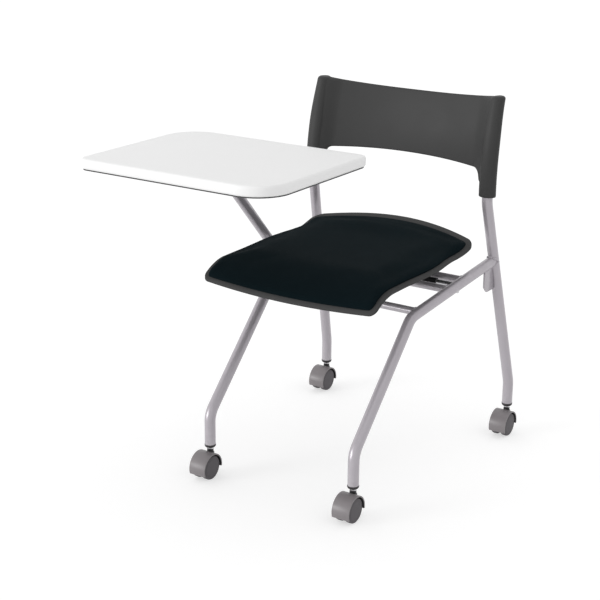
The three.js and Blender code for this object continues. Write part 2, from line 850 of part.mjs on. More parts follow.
function backPoint(u, v, depth) {
  const reach = backLine(backTopHeight).x;
  const across = Math.abs(u);
  const toSleeve = THREE.MathUtils.smoothstep(across, ...backFilletShares);
  const bottom = backBottomHeight - backBottomArch * u * u - backFilletDrop * toSleeve * toSleeve;
  const top = backTopHeight - backTopDip * (1 - Math.pow(across, backTopPower));
  const z = THREE.MathUtils.lerp(bottom, top, v);
  const place = backLine(z);
  const hollow = backHollow * (1 - Math.pow(across, backHollowPower));
  const x = u * (place.x + reach) / 2;
  return new THREE.Vector3(x, place.y + hollow + depth, z);
}

function backSleeve(side) {
  const height = backTopHeight - sleeveBottomHeight;
  const centreAt = (share) => onSide(backLine(sleeveBottomHeight + height * share), side);
  const levels = [0, ...sleeveLevelShares, 1 - sleeveTopInset / height, 1];
  const positions = [];
  for (const share of levels) {
    const centre = centreAt(share);
    const taper = THREE.MathUtils.smoothstep(share, ...sleeveTaperShares);
    const halfWidth = THREE.MathUtils.lerp(sleeveHalfWidth, sleeveTopHalfWidth, taper);
    const inset = share < 1 ? 0 : sleeveTopInset;
    for (let step = 0; step < fineSegments; step += 1) {
      const angle = 2 * Math.PI * step / fineSegments;
      const across = (halfWidth - inset) * Math.cos(angle);
      const along = (sleeveHalfDepth - inset) * Math.sin(angle);
      positions.push(centre.x + across, centre.y + along, centre.z);
    }
  }
  positions.push(...centreAt(0).toArray(), ...centreAt(1).toArray());
  const lowCentre = levels.length * fineSegments;
  const lastRing = (levels.length - 1) * fineSegments;
  const index = [];
  for (let step = 0; step < fineSegments; step += 1) {
    const next = (step + 1) % fineSegments;
    for (let ring = 0; ring < lastRing; ring += fineSegments) {
      const a = ring + step;
      const b = ring + next;
      index.push(a, b, b + fineSegments, a, b + fineSegments, a + fineSegments);
    }
    index.push(lowCentre, next, step);
    index.push(lowCentre + 1, lastRing + step, lastRing + next);
  }
  const geometry = new THREE.BufferGeometry();
  geometry.setAttribute('position', new THREE.Float32BufferAttribute(positions, 3));
  geometry.setIndex(index);
  return geometry;
}

function backShell() {
  const panel = gridSolid(panelRows, panelColumns,
    (u, v) => backPoint(u, v, backThickness / 2),
    (u, v) => backPoint(u, v, -backThickness / 2));
  const cuts = [1, -1].map((side) => {
    const above = backLine(uprightTopHeight + seatGap);
    const line = [rearLow, knee, ...uprightBowShares.map(bowedUpright), above];
    const corners = line.map((point) => onSide(point, side));
    return tube(corners, tubeRadius + seatGap, 0, kneeBendRadius, 2 * tubeSides);
  });
  return combine([panel, backSleeve(1), backSleeve(-1)], cuts);
}

// Writing tablet
function tabletOutline(inset) {
  const quarter = Math.PI / 2;
  const corners = [
    [1, 1, tabletTipCorner],
    [-1, 1, tabletRoundCorner],
    [-1, -1, tabletTipCorner],
    [1, -1, tabletRoundCorner],
  ];
  const shape = new THREE.Shape();
  corners.forEach(([across, along, corner], index) => {
    const x = across * (tabletWidth / 2 - corner);
    const y = along * (tabletDepth / 2 - corner);
    shape.absarc(x, y, corner - inset, index * quarter, (index + 1) * quarter, false);
  });
  return shape;
}

function pivotScrewHole(x, y) {
  const low = new THREE.Vector3(x, y, tabletUnderside - pivotFlangeThickness - overrun);
  const high = new THREE.Vector3(x, y, tabletUnderside + pivotScrewGrip);
  return rod(low, high, pivotScrewDiameter / 2 + seatGap);
}

function pivotScrewPlaces() {
  const places = [];
  for (const y of [pivotRearY, pivotFrontY]) {
    for (const share of [-1 / 2, 1 / 2]) {
      places.push([armTubeX + pivotScrewSpread * share, y]);
    }
  }
  return places;
}

function tabletTop() {
  const base = tabletUnderside + tabletBackingThickness;
  const body = new THREE.ExtrudeGeometry(tabletOutline(tabletEdgeRound), {
    depth: tabletThickness - 2 * tabletEdgeRound,
    bevelSize: tabletEdgeRound,
    bevelThickness: tabletEdgeRound,
    bevelSegments: tabletEdgeSteps,
    curveSegments: tabletCornerSteps,
  });
  body.translate(tabletMiddleX, tabletMiddleY, base + tabletEdgeRound);
  return combine([body], pivotScrewPlaces().map(([x, y]) => pivotScrewHole(x, y)));
}

function tabletBacking() {
  const body = new THREE.ExtrudeGeometry(tabletOutline(tabletBackingInset + tabletEdgeRound / 2), {
    depth: tabletBackingThickness - seatGap,
    bevelEnabled: false,
    curveSegments: tabletCornerSteps,
  });
  body.translate(tabletMiddleX, tabletMiddleY, tabletUnderside);
  return combine([body], pivotScrewPlaces().map(([x, y]) => pivotScrewHole(x, y)));
}

function pivotBlock(y) {
  const top = tabletUnderside - seatGap;
  const low = top - pivotFlangeThickness;
  const middle = new THREE.Vector3(armTubeX, y, spindleHeight);
  const half = new THREE.Vector3(0, pivotWidth / 2, 0);
  const boss = rod(middle.clone().sub(half), middle.clone().add(half), pivotBossRadius, fineSegments);
  const neck = boxBetween(
    new THREE.Vector3(armTubeX - pivotBossRadius, y - pivotWidth / 2, spindleHeight),
    new THREE.Vector3(armTubeX + pivotBossRadius, y + pivotWidth / 2, top));
  const flange = boxBetween(
    new THREE.Vector3(armTubeX - pivotFlangeWidth / 2, y - pivotWidth / 2, low),
    new THREE.Vector3(armTubeX + pivotFlangeWidth / 2, y + pivotWidth / 2, top));
  const reach = new THREE.Vector3(0, pivotWidth / 2 + overrun, 0);
  const boreEnds = [middle.clone().sub(reach), middle.clone().add(reach)];
  const cuts = [rod(...boreEnds, armTubeRadius + runGap, fineSegments)];
  for (const [x, place] of pivotScrewPlaces()) {
    cuts.push(pivotScrewHole(x, place));
  }
  return combine([boss, neck, flange], cuts);
}

function pivotScrew(x, y) {
  const seat = tabletUnderside - pivotFlangeThickness - 2 * seatGap;
  const tip = tabletUnderside + pivotScrewGrip - seatGap;
  return turned([
    [0, seat - pivotScrewHeadHeight],
    [panHeadTopShare * pivotScrewHeadDiameter / 2, seat - pivotScrewHeadHeight],
    [pivotScrewHeadDiameter / 2, seat - pivotScrewHeadHeight / 2],
    [pivotScrewHeadDiameter / 2, seat],
    [pivotScrewDiameter / 2, seat],
    [pivotScrewDiameter / 2, tip],
    [0, tip],
  ]).translate(x, y, 0);
}

// Slanted arm, from the right side arm up to the spindle that the tablet turns on
const lugY = (pivotRearY + pivotFrontY) / 2;
const lugTop = tabletUnderside - bumperThickness - 2 * seatGap;

function supportArmCorners() {
  const footAxis = mirrored(onLine(armFront, armRear, 'y', armFootY));
  const foot = new THREE.Vector3(armTubeX, footAxis.y, footAxis.z);
  const elbow = new THREE.Vector3(armTubeX, armElbowY, spindleHeight);
  const lean = elbow.clone().sub(foot).normalize();
  const tail = foot.clone().addScaledVector(lean, -armFootTail);
  return [tail, elbow, new THREE.Vector3(armTubeX, spindleEndY, spindleHeight)];
}

function armPlate() {
  const { foot, along, normal } = behindArmFoot(armPlateTail - armPlateLength / 2);
  const upward = new THREE.Vector3().crossVectors(normal, along);
  const centre = foot.addScaledVector(normal, tubeRadius + seatGap + armPlateThickness / 2);
  const plate = new THREE.BoxGeometry(armPlateLength, armPlateHeight, armPlateThickness);
  plate.applyMatrix4(new THREE.Matrix4().makeBasis(along, upward, normal));
  return plate.translate(centre.x, centre.y, centre.z);
}

function stopLug() {
  return boxBetween(
    new THREE.Vector3(armTubeX, lugY - stopLugWidth / 2, lugTop - stopLugThickness),
    new THREE.Vector3(armTubeX + stopLugReach, lugY + stopLugWidth / 2, lugTop));
}

function supportArm() {
  const corners = supportArmCorners();
  const arm = tube(corners, armTubeRadius, armTubeWall, armBendRadius);
  const cuts = [tube(corners, armTubeRadius - armTubeWall, 0, armBendRadius)];
  for (const offset of armBoltOffsets) {
    const { foot, normal } = behindArmFoot(offset);
    const far = foot.clone().addScaledVector(normal, 2 * tubeDiameter);
    cuts.push(rod(foot, far, armBoltDiameter / 2 + seatGap));
  }
  const place = restBumperPlace();
  const plugLow = place.clone().setZ(lugTop - stopLugThickness - overrun);
  const plugHigh = place.clone().setZ(lugTop + overrun);
  cuts.push(rod(plugLow, plugHigh, restBumperPlug / 2 + seatGap));
  return combine([arm, armPlate(), stopLug()], cuts);
}

function restBumperPlace() {
  const x = armTubeX + stopLugReach - restBumperDiameter / 2 - seatGap;
  return new THREE.Vector3(x, lugY, tabletUnderside);
}

function restBumper() {
  const place = restBumperPlace();
  const top = tabletUnderside - seatGap;
  const seat = top - bumperThickness;
  const low = seat - seatGap - stopLugThickness;
  return turned([
    [0, low],
    [restBumperPlug / 2, low],
    [restBumperPlug / 2, seat],
    [restBumperDiameter / 2, seat],
    [restBumperTopShare * restBumperDiameter / 2, top],
    [0, top],
  ]).translate(place.x, place.y, 0);
}

function armBolt(offset) {
  const { foot, normal } = behindArmFoot(offset);
  const headSeat = tubeRadius + armPlateThickness + 2 * seatGap;
  const nutSeat = tubeRadius + seatGap;
  const at = (distance) => foot.clone().addScaledVector(normal, distance);
  const head = rod(at(headSeat), at(headSeat + armBoltHeadHeight), armBoltHeadWidth / 2, hexSides);
  const nut = rod(at(-nutSeat - armBoltHeadHeight), at(-nutSeat), armBoltHeadWidth / 2, hexSides);
  const shank = rod(at(-nutSeat - armBoltHeadHeight / 2), at(headSeat + armBoltHeadHeight / 2),
    armBoltDiameter / 2);
  return combine([head, nut, shank]);
}

function armEndCap() {
  const plug = armTubeRadius - armTubeWall - seatGap;
  const cap = turned([
    [0, -endCapThickness - seatGap],
    [endCapTopShare * armTubeRadius, -endCapThickness - seatGap],
    [armTubeRadius, -endCapThickness / 2 - seatGap],
    [armTubeRadius, -seatGap],
    [plug, -seatGap],
    [plug, endCapPlug],
    [0, endCapPlug],
  ], 2 * tubeSides);
  cap.rotateX(-Math.PI / 2);
  return cap.translate(armTubeX, spindleEndY, spindleHeight);
}

// Assembly
const chair = new THREE.Group();

function add(name, geometry, material, place = new THREE.Vector3()) {
  const mesh = new THREE.Mesh(geometry, material.clone());
  mesh.name = name;
  mesh.position.copy(place);
  chair.add(mesh);
}

const sides = { right: -1, left: 1 };
const casterPlaces = {
  front_right: new THREE.Vector3(-frontHalfTrack, -wheelbase, 0),
  front_left: new THREE.Vector3(frontHalfTrack, -wheelbase, 0),
  rear_right: new THREE.Vector3(-rearHalfTrack, 0, 0),
  rear_left: new THREE.Vector3(rearHalfTrack, 0, 0),
};

for (const [word, side] of Object.entries(sides)) {
  add(`front_leg_tube_${word}`, frontLegTube(side), silver);
  add(`rear_upright_tube_${word}`, rearUpright(side), silver);
  add(`nesting_stop_${word}`, nestingStop(side), silver);
  add(`hinge_lock_screw_${word}`, lockScrew(side), brightSteel);
  add(`seat_bracket_${word}`, seatBracket(side), blackPlastic);
  add(`seat_bumper_${word}`, seatBumper(side), softRubber);
  add(`seat_screw_rear_${word}`, seatScrew(side, seatScrewPlaces[0]), brightSteel);
  add(`seat_screw_front_${word}`, seatScrew(side, seatScrewPlaces[1]), brightSteel);
}

add('cross_tube_front', crossTube(crossTubeFrontY), silver);
add('cross_tube_middle', crossTube(crossTubeMiddleY), silver);
add('cross_tube_rear', crossTube(crossTubeRearY), silver);
add('seat_hinge_rod', hingeRod(), brightSteel);
add('seat_shell', seatShell(), darkPlastic);
add('seat_pad', seatPad(), padCloth);
add('back_shell', backShell(), darkPlastic);

add('tablet_support_arm', supportArm(), silver);
add('tablet_arm_bolt_rear', armBolt(armBoltOffsets[0]), brightSteel);
add('tablet_arm_bolt_front', armBolt(armBoltOffsets[1]), brightSteel);
add('tablet_arm_end_cap', armEndCap(), blackPlastic);
add('tablet_rest_bumper', restBumper(), softRubber);
add('tablet_top', tabletTop(), tabletWhite);
add('tablet_backing', tabletBacking(), tabletDark);
add('tablet_pivot_block_rear', pivotBlock(pivotRearY), blackPlastic);
add('tablet_pivot_block_front', pivotBlock(pivotFrontY), blackPlastic);
pivotScrewPlaces().forEach(([x, y], index) => {
  add(`tablet_screw_${index + 1}`, pivotScrew(x, y), brightSteel);
});

for (const [word, place] of Object.entries(casterPlaces)) {
  add(`leg_ferrule_${word}`, legFerrule(), blackPlastic, place);
  add(`caster_stem_${word}`, casterStem(), brightSteel, place);
  add(`caster_hood_${word}`, casterHood(), casterGrey, place);
  add(`caster_axle_${word}`, casterAxle(), brightSteel, place);
  add(`caster_wheel_outer_${word}`, wheel(Math.sign(place.x)), wheelGrey, place);
  add(`caster_wheel_inner_${word}`, wheel(-Math.sign(place.x)), wheelGrey, place);
}

// The origin is the middle of the chair's outer box, on the floor
const outerBox = new THREE.Box3().setFromObject(chair);
const boxMiddle = outerBox.getCenter(new THREE.Vector3());
chair.position.set(-boxMiddle.x, -boxMiddle.y, -outerBox.min.z);
chair.updateMatrixWorld(true);

export default chair;
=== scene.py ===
"""Nesting chair with a writing tablet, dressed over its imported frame.

Sizes are in millimetres from the plane that the tubes are mirrored in, the rear casters' stems
and the floor, as the part's own dimensions are. Bench.at() turns them into metres in the row frame.
"""

import logging
import math
from contextlib import contextmanager
from dataclasses import dataclass, field
from enum import Enum
from functools import cache
from typing import Callable, Iterator, Optional, Sequence

import bmesh
import bpy
from mathutils import Euler, Matrix, Vector
from mathutils.kdtree import KDTree


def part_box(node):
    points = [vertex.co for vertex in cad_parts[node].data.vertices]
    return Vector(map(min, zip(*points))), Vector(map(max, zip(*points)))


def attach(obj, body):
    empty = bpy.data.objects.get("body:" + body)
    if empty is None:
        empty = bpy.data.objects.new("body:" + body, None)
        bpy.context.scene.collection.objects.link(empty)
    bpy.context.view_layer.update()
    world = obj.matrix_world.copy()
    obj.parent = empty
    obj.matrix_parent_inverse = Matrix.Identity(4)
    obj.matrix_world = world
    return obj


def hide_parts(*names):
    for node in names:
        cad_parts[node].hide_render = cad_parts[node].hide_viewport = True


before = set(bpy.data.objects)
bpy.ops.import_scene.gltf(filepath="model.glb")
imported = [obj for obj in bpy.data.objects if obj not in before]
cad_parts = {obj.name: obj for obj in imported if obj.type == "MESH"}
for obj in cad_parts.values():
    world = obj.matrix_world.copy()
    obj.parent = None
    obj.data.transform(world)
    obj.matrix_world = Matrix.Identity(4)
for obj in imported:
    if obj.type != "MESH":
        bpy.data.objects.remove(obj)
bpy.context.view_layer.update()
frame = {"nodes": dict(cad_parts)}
MM = 0.001
HINGE_Y = -190.0
MERGE_GAP = 0.002 * MM
CLOSE = 0.01 * MM
FLAT_ANGLE = 0.5
SHARP_ANGLE = 32.0
Piece = bpy.types.Object
Pairs = Sequence[tuple[float, float]]
log = logging.getLogger("nesting_chair")


class Side(Enum):
    """The sitter's sides."""

    RIGHT = -1
    LEFT = 1

    @property
    def word(self) -> str:
        """The side's word in the names of the nodes."""
        return self.name.lower()


class Corner(Enum):
    """The four casters, by their stem's place in millimetres."""

    FRONT_RIGHT = (-168.6, -539.3)
    FRONT_LEFT = (168.6, -539.3)
    REAR_RIGHT = (-231.9, 0.0)
    REAR_LEFT = (231.9, 0.0)

    @property
    def word(self) -> str:
        """The corner's word in the names of the nodes."""
        return self.name.lower()


def point_field(x: float, y: float, z: float) -> Vector:
    """A dataclass field that holds a point or a way."""
    return field(default_factory=lambda: Vector((x, y, z)))


def share_of(value: float, start: float, end: float) -> float:
    """The share of the way from start to end, held between 0 and 1."""
    return min(max((value - start) / (end - start), 0.0), 1.0)


def soft_step(value: float, start: float, end: float) -> float:
    """A soft step from 0 at start to 1 at end."""
    share = share_of(value, start, end)
    return share * share * (3 - 2 * share)


# Workbench


class Bench:
    """Short names for the tools that every piece is made with."""

    low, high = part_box("seat_hinge_rod")
    origin = Vector(((low.x + high.x) / 2, (low.y + high.y) / 2 - HINGE_Y * MM, 0))

    @classmethod
    def at(cls, x: float, y: float, z: float) -> Vector:
        """Turns millimetres left of the middle, behind the rear stems and above the floor into metres."""
        return cls.origin + Vector((x, y, z)) * MM

    @classmethod
    def placed(cls, points: Sequence[Vector]) -> list[Vector]:
        """Turns points in millimetres into the row frame."""
        return [cls.at(*point) for point in points]

    @staticmethod
    def facing(run: Vector) -> Euler:
        """The rotation that turns the way up into another way."""
        return run.to_track_quat("Z", "Y").to_euler()

    @staticmethod
    def hold(piece: Optional[Piece] = None) -> None:
        """Leaves edit mode and makes a piece the only one selected.

        Args:
            piece: The piece to work on, or None to select nothing.
        """
        if bpy.context.mode != "OBJECT":
            bpy.ops.object.mode_set(mode="OBJECT")
        bpy.ops.object.select_all(action="DESELECT")
        if piece:
            piece.select_set(True)
            bpy.context.view_layer.objects.active = piece

    @classmethod
    def start(cls, name: str, primitive: Callable, **sizes: object) -> Piece:
        """Adds a primitive at its size and place, with its place in its mesh.

        Args:
            name: The piece's name.
            primitive: The operator that adds it.
            **sizes: The operator's settings.

        Returns:
            The new piece.
        """
        cls.hold()
        primitive(**sizes)
        piece = bpy.context.object
        piece.name = name
        bpy.ops.object.transform_apply(location=True, rotation=True, scale=True)
        return piece

    @classmethod
    @contextmanager
    def editing(cls, piece: Piece, mode: str = "VERT") -> Iterator[None]:
        """Edit mode on one piece, all of it selected.

        Args:
            piece: The piece to shape.
            mode: What is selected: VERT, EDGE or FACE.
        """
        cls.hold(piece)
        bpy.ops.object.mode_set(mode="EDIT")
        bpy.ops.mesh.select_mode(type=mode)
        bpy.ops.mesh.select_all(action="SELECT")
        yield
        bpy.ops.object.mode_set(mode="OBJECT")

    @classmethod
    def round_edges(cls, piece: Piece, width: float, segments: int,
                    test: Callable[[Vector, Vector], bool]) -> None:
        """Rounds the edges that a test picks.

        Args:
            piece: The piece to shape.
            width: The rounding's width in millimetres.
            segments: The rounding's steps.
            test: True for the two ends of an edge to round.
        """
        with cls.editing(piece, "EDGE"):
            bpy.ops.mesh.select_all(action="DESELECT")
            mesh = bmesh.from_edit_mesh(piece.data)
            for edge in mesh.edges:
                edge.select = test(edge.verts[0].co, edge.verts[1].co)
            mesh.select_flush_mode()
            bmesh.update_edit_mesh(piece.data)
            bpy.ops.mesh.bevel(offset=width * MM, segments=segments, affect="EDGES")

    @classmethod
    def shape(cls, piece: Piece, kind: str, **settings: object) -> None:
        """Adds a modifier, sets it and applies it.

        Args:
            piece: The piece to shape.
            kind: The modifier's type.
            **settings: The modifier's settings.
        """
        cls.hold(piece)
        modifier = piece.modifiers.new(kind.lower(), kind)
        for key, value in settings.items():
            setattr(modifier, key, value)
        bpy.ops.object.modifier_apply(modifier=modifier.name)

    @classmethod
    def ease(cls, piece: Piece, width: float, segments: int = 2, angle: float = SHARP_ANGLE) -> None:
        """Rounds the sharp edges of a piece.

        Args:
            piece: The piece to shape.
            width: The rounding's width in millimetres.
            segments: The rounding's steps.
            angle: The least angle in degrees that counts as sharp.
        """
        cls.shape(piece, "BEVEL", width=width * MM, segments=segments, limit_method="ANGLE",
                  angle_limit=math.radians(angle), use_clamp_overlap=True)

    @classmethod
    def weld(cls, piece: Piece) -> None:
        """Merges the points of a piece that lie in one place and turns its faces outwards.

        Args:
            piece: The piece to shape.
        """
        with cls.editing(piece):
            bpy.ops.mesh.remove_doubles(threshold=MERGE_GAP)
            bpy.ops.mesh.normals_make_consistent(inside=False)

    @classmethod
    def cut(cls, piece: Piece, *tools: Piece, how: str = "DIFFERENCE") -> None:
        """Cuts a piece with tools, or joins them to it, and removes the tools.

        Args:
            piece: The piece to shape.
            *tools: The closed pieces that shape it.
            how: DIFFERENCE, UNION or INTERSECT.
        """
        for tool in tools:
            cls.shape(piece, "BOOLEAN", operation=how, solver="EXACT", object=tool)
            bpy.data.objects.remove(tool, do_unlink=True)

    @staticmethod
    def twin(piece: Piece, name: str, matrix: Matrix) -> Piece:
        """Copies a piece with its own mesh and puts the copy in place.

        Args:
            piece: The piece to copy.
            name: The copy's name.
            matrix: Where the copy goes, from where the piece is.

        Returns:
            The copy.
        """
        copy = bpy.data.objects.new(name, piece.data.copy())
        bpy.context.scene.collection.objects.link(copy)
        copy.data.transform(matrix)
        if matrix.determinant() < 0:
            copy.data.flip_normals()
        return copy

    @classmethod
    def mirrored(cls, piece: Piece, name: str) -> Piece:
        """Copies a piece to the chair's other side under a new name."""
        here = Matrix.Translation(cls.origin)
        return cls.twin(piece, name, here @ Matrix.Diagonal((-1, 1, 1, 1)) @ here.inverted())

    @classmethod
    def merged_copy(cls, node: str, name: str) -> Piece:
        """A piece that starts from a solid of the frame, with its loose triangles joined.

        Args:
            node: The solid's node.
            name: The new piece's name.

        Returns:
            The new piece.
        """
        piece = cls.twin(frame["nodes"][node], name, Matrix.Identity(4))
        piece.data.materials.clear()
        with cls.editing(piece):
            bpy.ops.mesh.remove_doubles(threshold=MERGE_GAP)
            bpy.ops.mesh.dissolve_limited(angle_limit=math.radians(FLAT_ANGLE))
        return piece

    @classmethod
    def pipe(cls, name: str, corners: Sequence[Vector], radius: float, wall: float,
             bends: Sequence[float] = (), sides: int = 40, steps: int = 10) -> Piece:
        """Bends a tube: a ring drawn along straight runs and spun round each bend.

        Args:
            name: The tube's name.
            corners: The tube's axis, in metres.
            radius: The tube's outer radius in millimetres.
            wall: The tube's wall in millimetres, or 0 for a bar with closed ends.
            bends: The radius of each bend in millimetres.
            sides: The ring's points.
            steps: The rings in each bend.

        Returns:
            The tube.
        """
        run = (corners[1] - corners[0]).normalized()
        tube = cls.start(name, bpy.ops.mesh.primitive_circle_add, vertices=sides, radius=radius * MM,
                         fill_type="NOTHING" if wall else "NGON", location=corners[0],
                         rotation=cls.facing(run))
        with cls.editing(tube, "EDGE" if wall else "FACE"):
            here = corners[0]
            for index in range(1, len(corners)):
                run = (corners[index] - corners[index - 1]).normalized()
                last = index == len(corners) - 1
                following = run if last else (corners[index + 1] - corners[index]).normalized()
                bend = 0.0 if last else bends[index - 1] * MM
                turn = run.angle(following)
                reach = bend * math.tan(turn / 2)
                begin = corners[index] - run * reach
                bpy.ops.mesh.extrude_region_move(TRANSFORM_OT_translate={"value": begin - here})
                here = corners[index] + following * reach
                if not last:
                    axis = run.cross(following).normalized()
                    bpy.ops.mesh.spin(steps=steps, dupli=False, angle=-turn, axis=axis,
                                      center=begin + axis.cross(run) * bend)
        cls.weld(tube)
        if wall:
            cls.shape(tube, "SOLIDIFY", thickness=wall * MM, offset=-1)
        return tube

    @classmethod
    def turned(cls, name: str, profile: Pairs, place: Vector, axis: Vector = Vector((0, 0, 1)),
               steps: int = 48) -> Piece:
        """Turns a piece on a lathe: a line of points spun round an axis.

        Args:
            name: The piece's name.
            profile: Pairs of radius and height in millimetres, from one end to the other.
            place: Where height 0 of the axis is, in metres.
            axis: The way of growing height.
            steps: The steps round the axis.

        Returns:
            The piece.
        """
        piece = cls.start(name, bpy.ops.mesh.primitive_plane_add, size=MM)
        with cls.editing(piece):
            bpy.ops.mesh.merge(type="CENTER")
            first = Vector((profile[0][0], 0, profile[0][1])) * MM
            bpy.ops.transform.translate(value=first)
            for before, after in zip(profile, profile[1:]):
                step = Vector((after[0] - before[0], 0, after[1] - before[1])) * MM
                bpy.ops.mesh.extrude_region_move(TRANSFORM_OT_translate={"value": step})
            bpy.ops.mesh.select_all(action="SELECT")
            bpy.ops.mesh.spin(steps=steps, dupli=False, angle=math.tau, center=(0, 0, 0), axis=(0, 0, 1))
        cls.weld(piece)
        turn = axis.to_track_quat("Z", "Y").to_matrix().to_4x4()
        piece.data.transform(Matrix.Translation(place) @ turn)
        return piece

    @classmethod
    def ringed(cls, name: str, sides: int, rows: int, place: Callable[[int, int], Vector]) -> Piece:
        """Builds a closed skin: a ring extruded row by row, each point put where it belongs.

        Args:
            name: The piece's name.
            sides: The points of each ring.
            rows: The number of rings.
            place: Gives a point's place from its number round the ring and its row.

        Returns:
            The piece.
        """
        piece = cls.start(name, bpy.ops.mesh.primitive_circle_add, vertices=sides, radius=1, fill_type="NGON")
        with cls.editing(piece, "FACE"):
            for _ in range(rows - 1):
                bpy.ops.mesh.extrude_region_move(TRANSFORM_OT_translate={"value": (0, 0, 1)})

        def settle(point: Vector) -> Vector:
            """Reads a point's number and row from the plain cylinder."""
            turn = math.atan2(point.y, point.x) / math.tau
            return place(round(turn * sides) % sides, round(point.z))

        cls.reshape(piece, settle)
        with cls.editing(piece):
            bpy.ops.mesh.normals_make_consistent(inside=False)
        return piece

    @classmethod
    def block(cls, name: str, low: Vector, high: Vector) -> Piece:
        """Starts a piece from a block between two corners in metres."""
        return cls.start(name, bpy.ops.mesh.primitive_cube_add, size=1, location=(low + high) / 2,
                         scale=high - low)

    @classmethod
    def drum(cls, name: str, start: Vector, end: Vector, radius: float, sides: int = 96) -> Piece:
        """Starts a piece from a round bar.

        Args:
            name: The piece's name.
            start: The middle of one end, in metres.
            end: The middle of the other end, in metres.
            radius: The radius in millimetres.
            sides: The points round it.

        Returns:
            The bar.
        """
        run = end - start
        return cls.start(name, bpy.ops.mesh.primitive_cylinder_add, vertices=sides, radius=radius * MM,
                         depth=run.length, location=(start + end) / 2, rotation=cls.facing(run))

    @staticmethod
    def reshape(piece: Piece, move: Callable[[Vector], Vector]) -> None:
        """Moves each point of a piece to the new place that a rule gives for its old one.

        Args:
            piece: The piece to shape.
            move: Gives a point's new place from its old one, in metres.
        """
        for vertex in piece.data.vertices:
            vertex.co = move(vertex.co.copy())
        piece.data.update()

    @classmethod
    def bead(cls, name: str, end: Vector, run: Vector, radius: float, host: tuple[Vector, Vector, float],
             size: float) -> Piece:
        """Lays a weld bead where a tube meets the side of another tube.

        Args:
            name: The bead's name.
            end: The tube's end on the other tube's axis, in metres.
            run: The way of the tube towards that end.
            radius: The tube's radius in millimetres.
            host: A point on the other tube's axis, its way, and its radius in millimetres.
            size: The bead's radius in millimetres.

        Returns:
            The bead.
        """
        run = run.normalized()
        bead = cls.start(name, bpy.ops.mesh.primitive_torus_add, major_radius=radius * MM,
                         minor_radius=size * MM, major_segments=144, minor_segments=10, location=end,
                         rotation=cls.facing(run))
        point, way, reach = host
        way = way.normalized()
        coarse, coarse_waves, fine, fine_waves = 0.1, 7, 0.16, 24

        def saddle(place: Vector) -> Vector:
            """Slides a point along the tube to the other tube's skin, with a fine ripple.

            Args:
                place: The point on the plain ring, in metres.

            Returns:
                The point's new place in metres.
            """
            arm = place - end
            arm -= run * arm.dot(run)
            ring = end + arm.normalized() * radius * MM
            offset = (ring - point) - way * (ring - point).dot(way)
            slant = run - way * run.dot(way)
            half = offset.dot(slant) / slant.length_squared
            rest = half * half - (offset.length_squared - (reach * MM) ** 2) / slant.length_squared
            slide = -half - math.sqrt(max(rest, 0))
            side = run.orthogonal()
            angle = math.atan2(arm.dot(run.cross(side)), arm.dot(side))
            swell = 1 + fine * math.sin(fine_waves * angle) + coarse * math.sin(coarse_waves * angle + 1)
            middle = ring + run * slide
            return middle + (place + run * slide - middle) * swell

        cls.reshape(bead, saddle)
        return bead


# Finishes


class NodeTree:
    """Writes a node tree in a few words a line."""

    def __init__(self, tree: bpy.types.NodeTree) -> None:
        """Starts on a tree and empties it."""
        self.tree = tree
        tree.nodes.clear()

    def add(self, kind: str, settings: Optional[dict] = None, **sockets: object) -> bpy.types.Node:
        """Adds a node and feeds its sockets.

        Args:
            kind: The node's type.
            settings: The node's own settings.
            **sockets: A value or an output for each input, with _ for a space in its name, or i and
                its number.

        Returns:
            The node.
        """
        node = self.tree.nodes.new(kind)
        for key, value in (settings or {}).items():
            setattr(node, key, value)
        for key, value in sockets.items():
            self.feed(node, int(key[1:]) if key[1:].isdigit() else key.replace("_", " "), value)
        return node

    def feed(self, node: bpy.types.Node, key: object, value: object) -> None:
        """Links an output to an input, or sets the input's value.

        Args:
            node: The node that is fed.
            key: The input's name or number.
            value: The output or the value.
        """
        if isinstance(value, bpy.types.NodeSocket):
            self.tree.links.new(value, node.inputs[key])
        else:
            node.inputs[key].default_value = value

    def math(self, operation: str, first: object, second: object) -> bpy.types.NodeSocket:
        """Adds an operation on two values and returns its output."""
        return self.add("ShaderNodeMath", {"operation": operation}, i0=first, i1=second).outputs[0]

    def noise(self, place: object, scale: object, detail: float, roughness: float = 0.5,
              output: str = "Fac") -> bpy.types.NodeSocket:
        """Adds a noise and returns one of its outputs.

        Args:
            place: The place that it is read at.
            scale: The noise's scale.
            detail: The noise's detail.
            roughness: The noise's roughness.
            output: Fac or Color.

        Returns:
            The output.
        """
        node = self.add("ShaderNodeTexNoise", Vector=place, Scale=scale, Detail=detail, Roughness=roughness)
        return node.outputs[output]

    def ramp(self, value: object, low: object, high: object, start: float = 0.0,
             end: float = 1.0) -> bpy.types.NodeSocket:
        """Maps a value from one range to another.

        Args:
            value: The value to map.
            low: The first range's start.
            high: The first range's end.
            start: The second range's start.
            end: The second range's end.

        Returns:
            The mapped value.
        """
        return self.add("ShaderNodeMapRange", {"clamp": True}, Value=value, From_Min=low, From_Max=high,
                        To_Min=start, To_Max=end).outputs[0]

    def blend(self, share: object, first: object, second: object) -> bpy.types.NodeSocket:
        """Mixes a share of a second colour into a first one."""
        return self.add("ShaderNodeMix", {"data_type": "RGBA"}, i0=share, i6=first, i7=second).outputs[2]


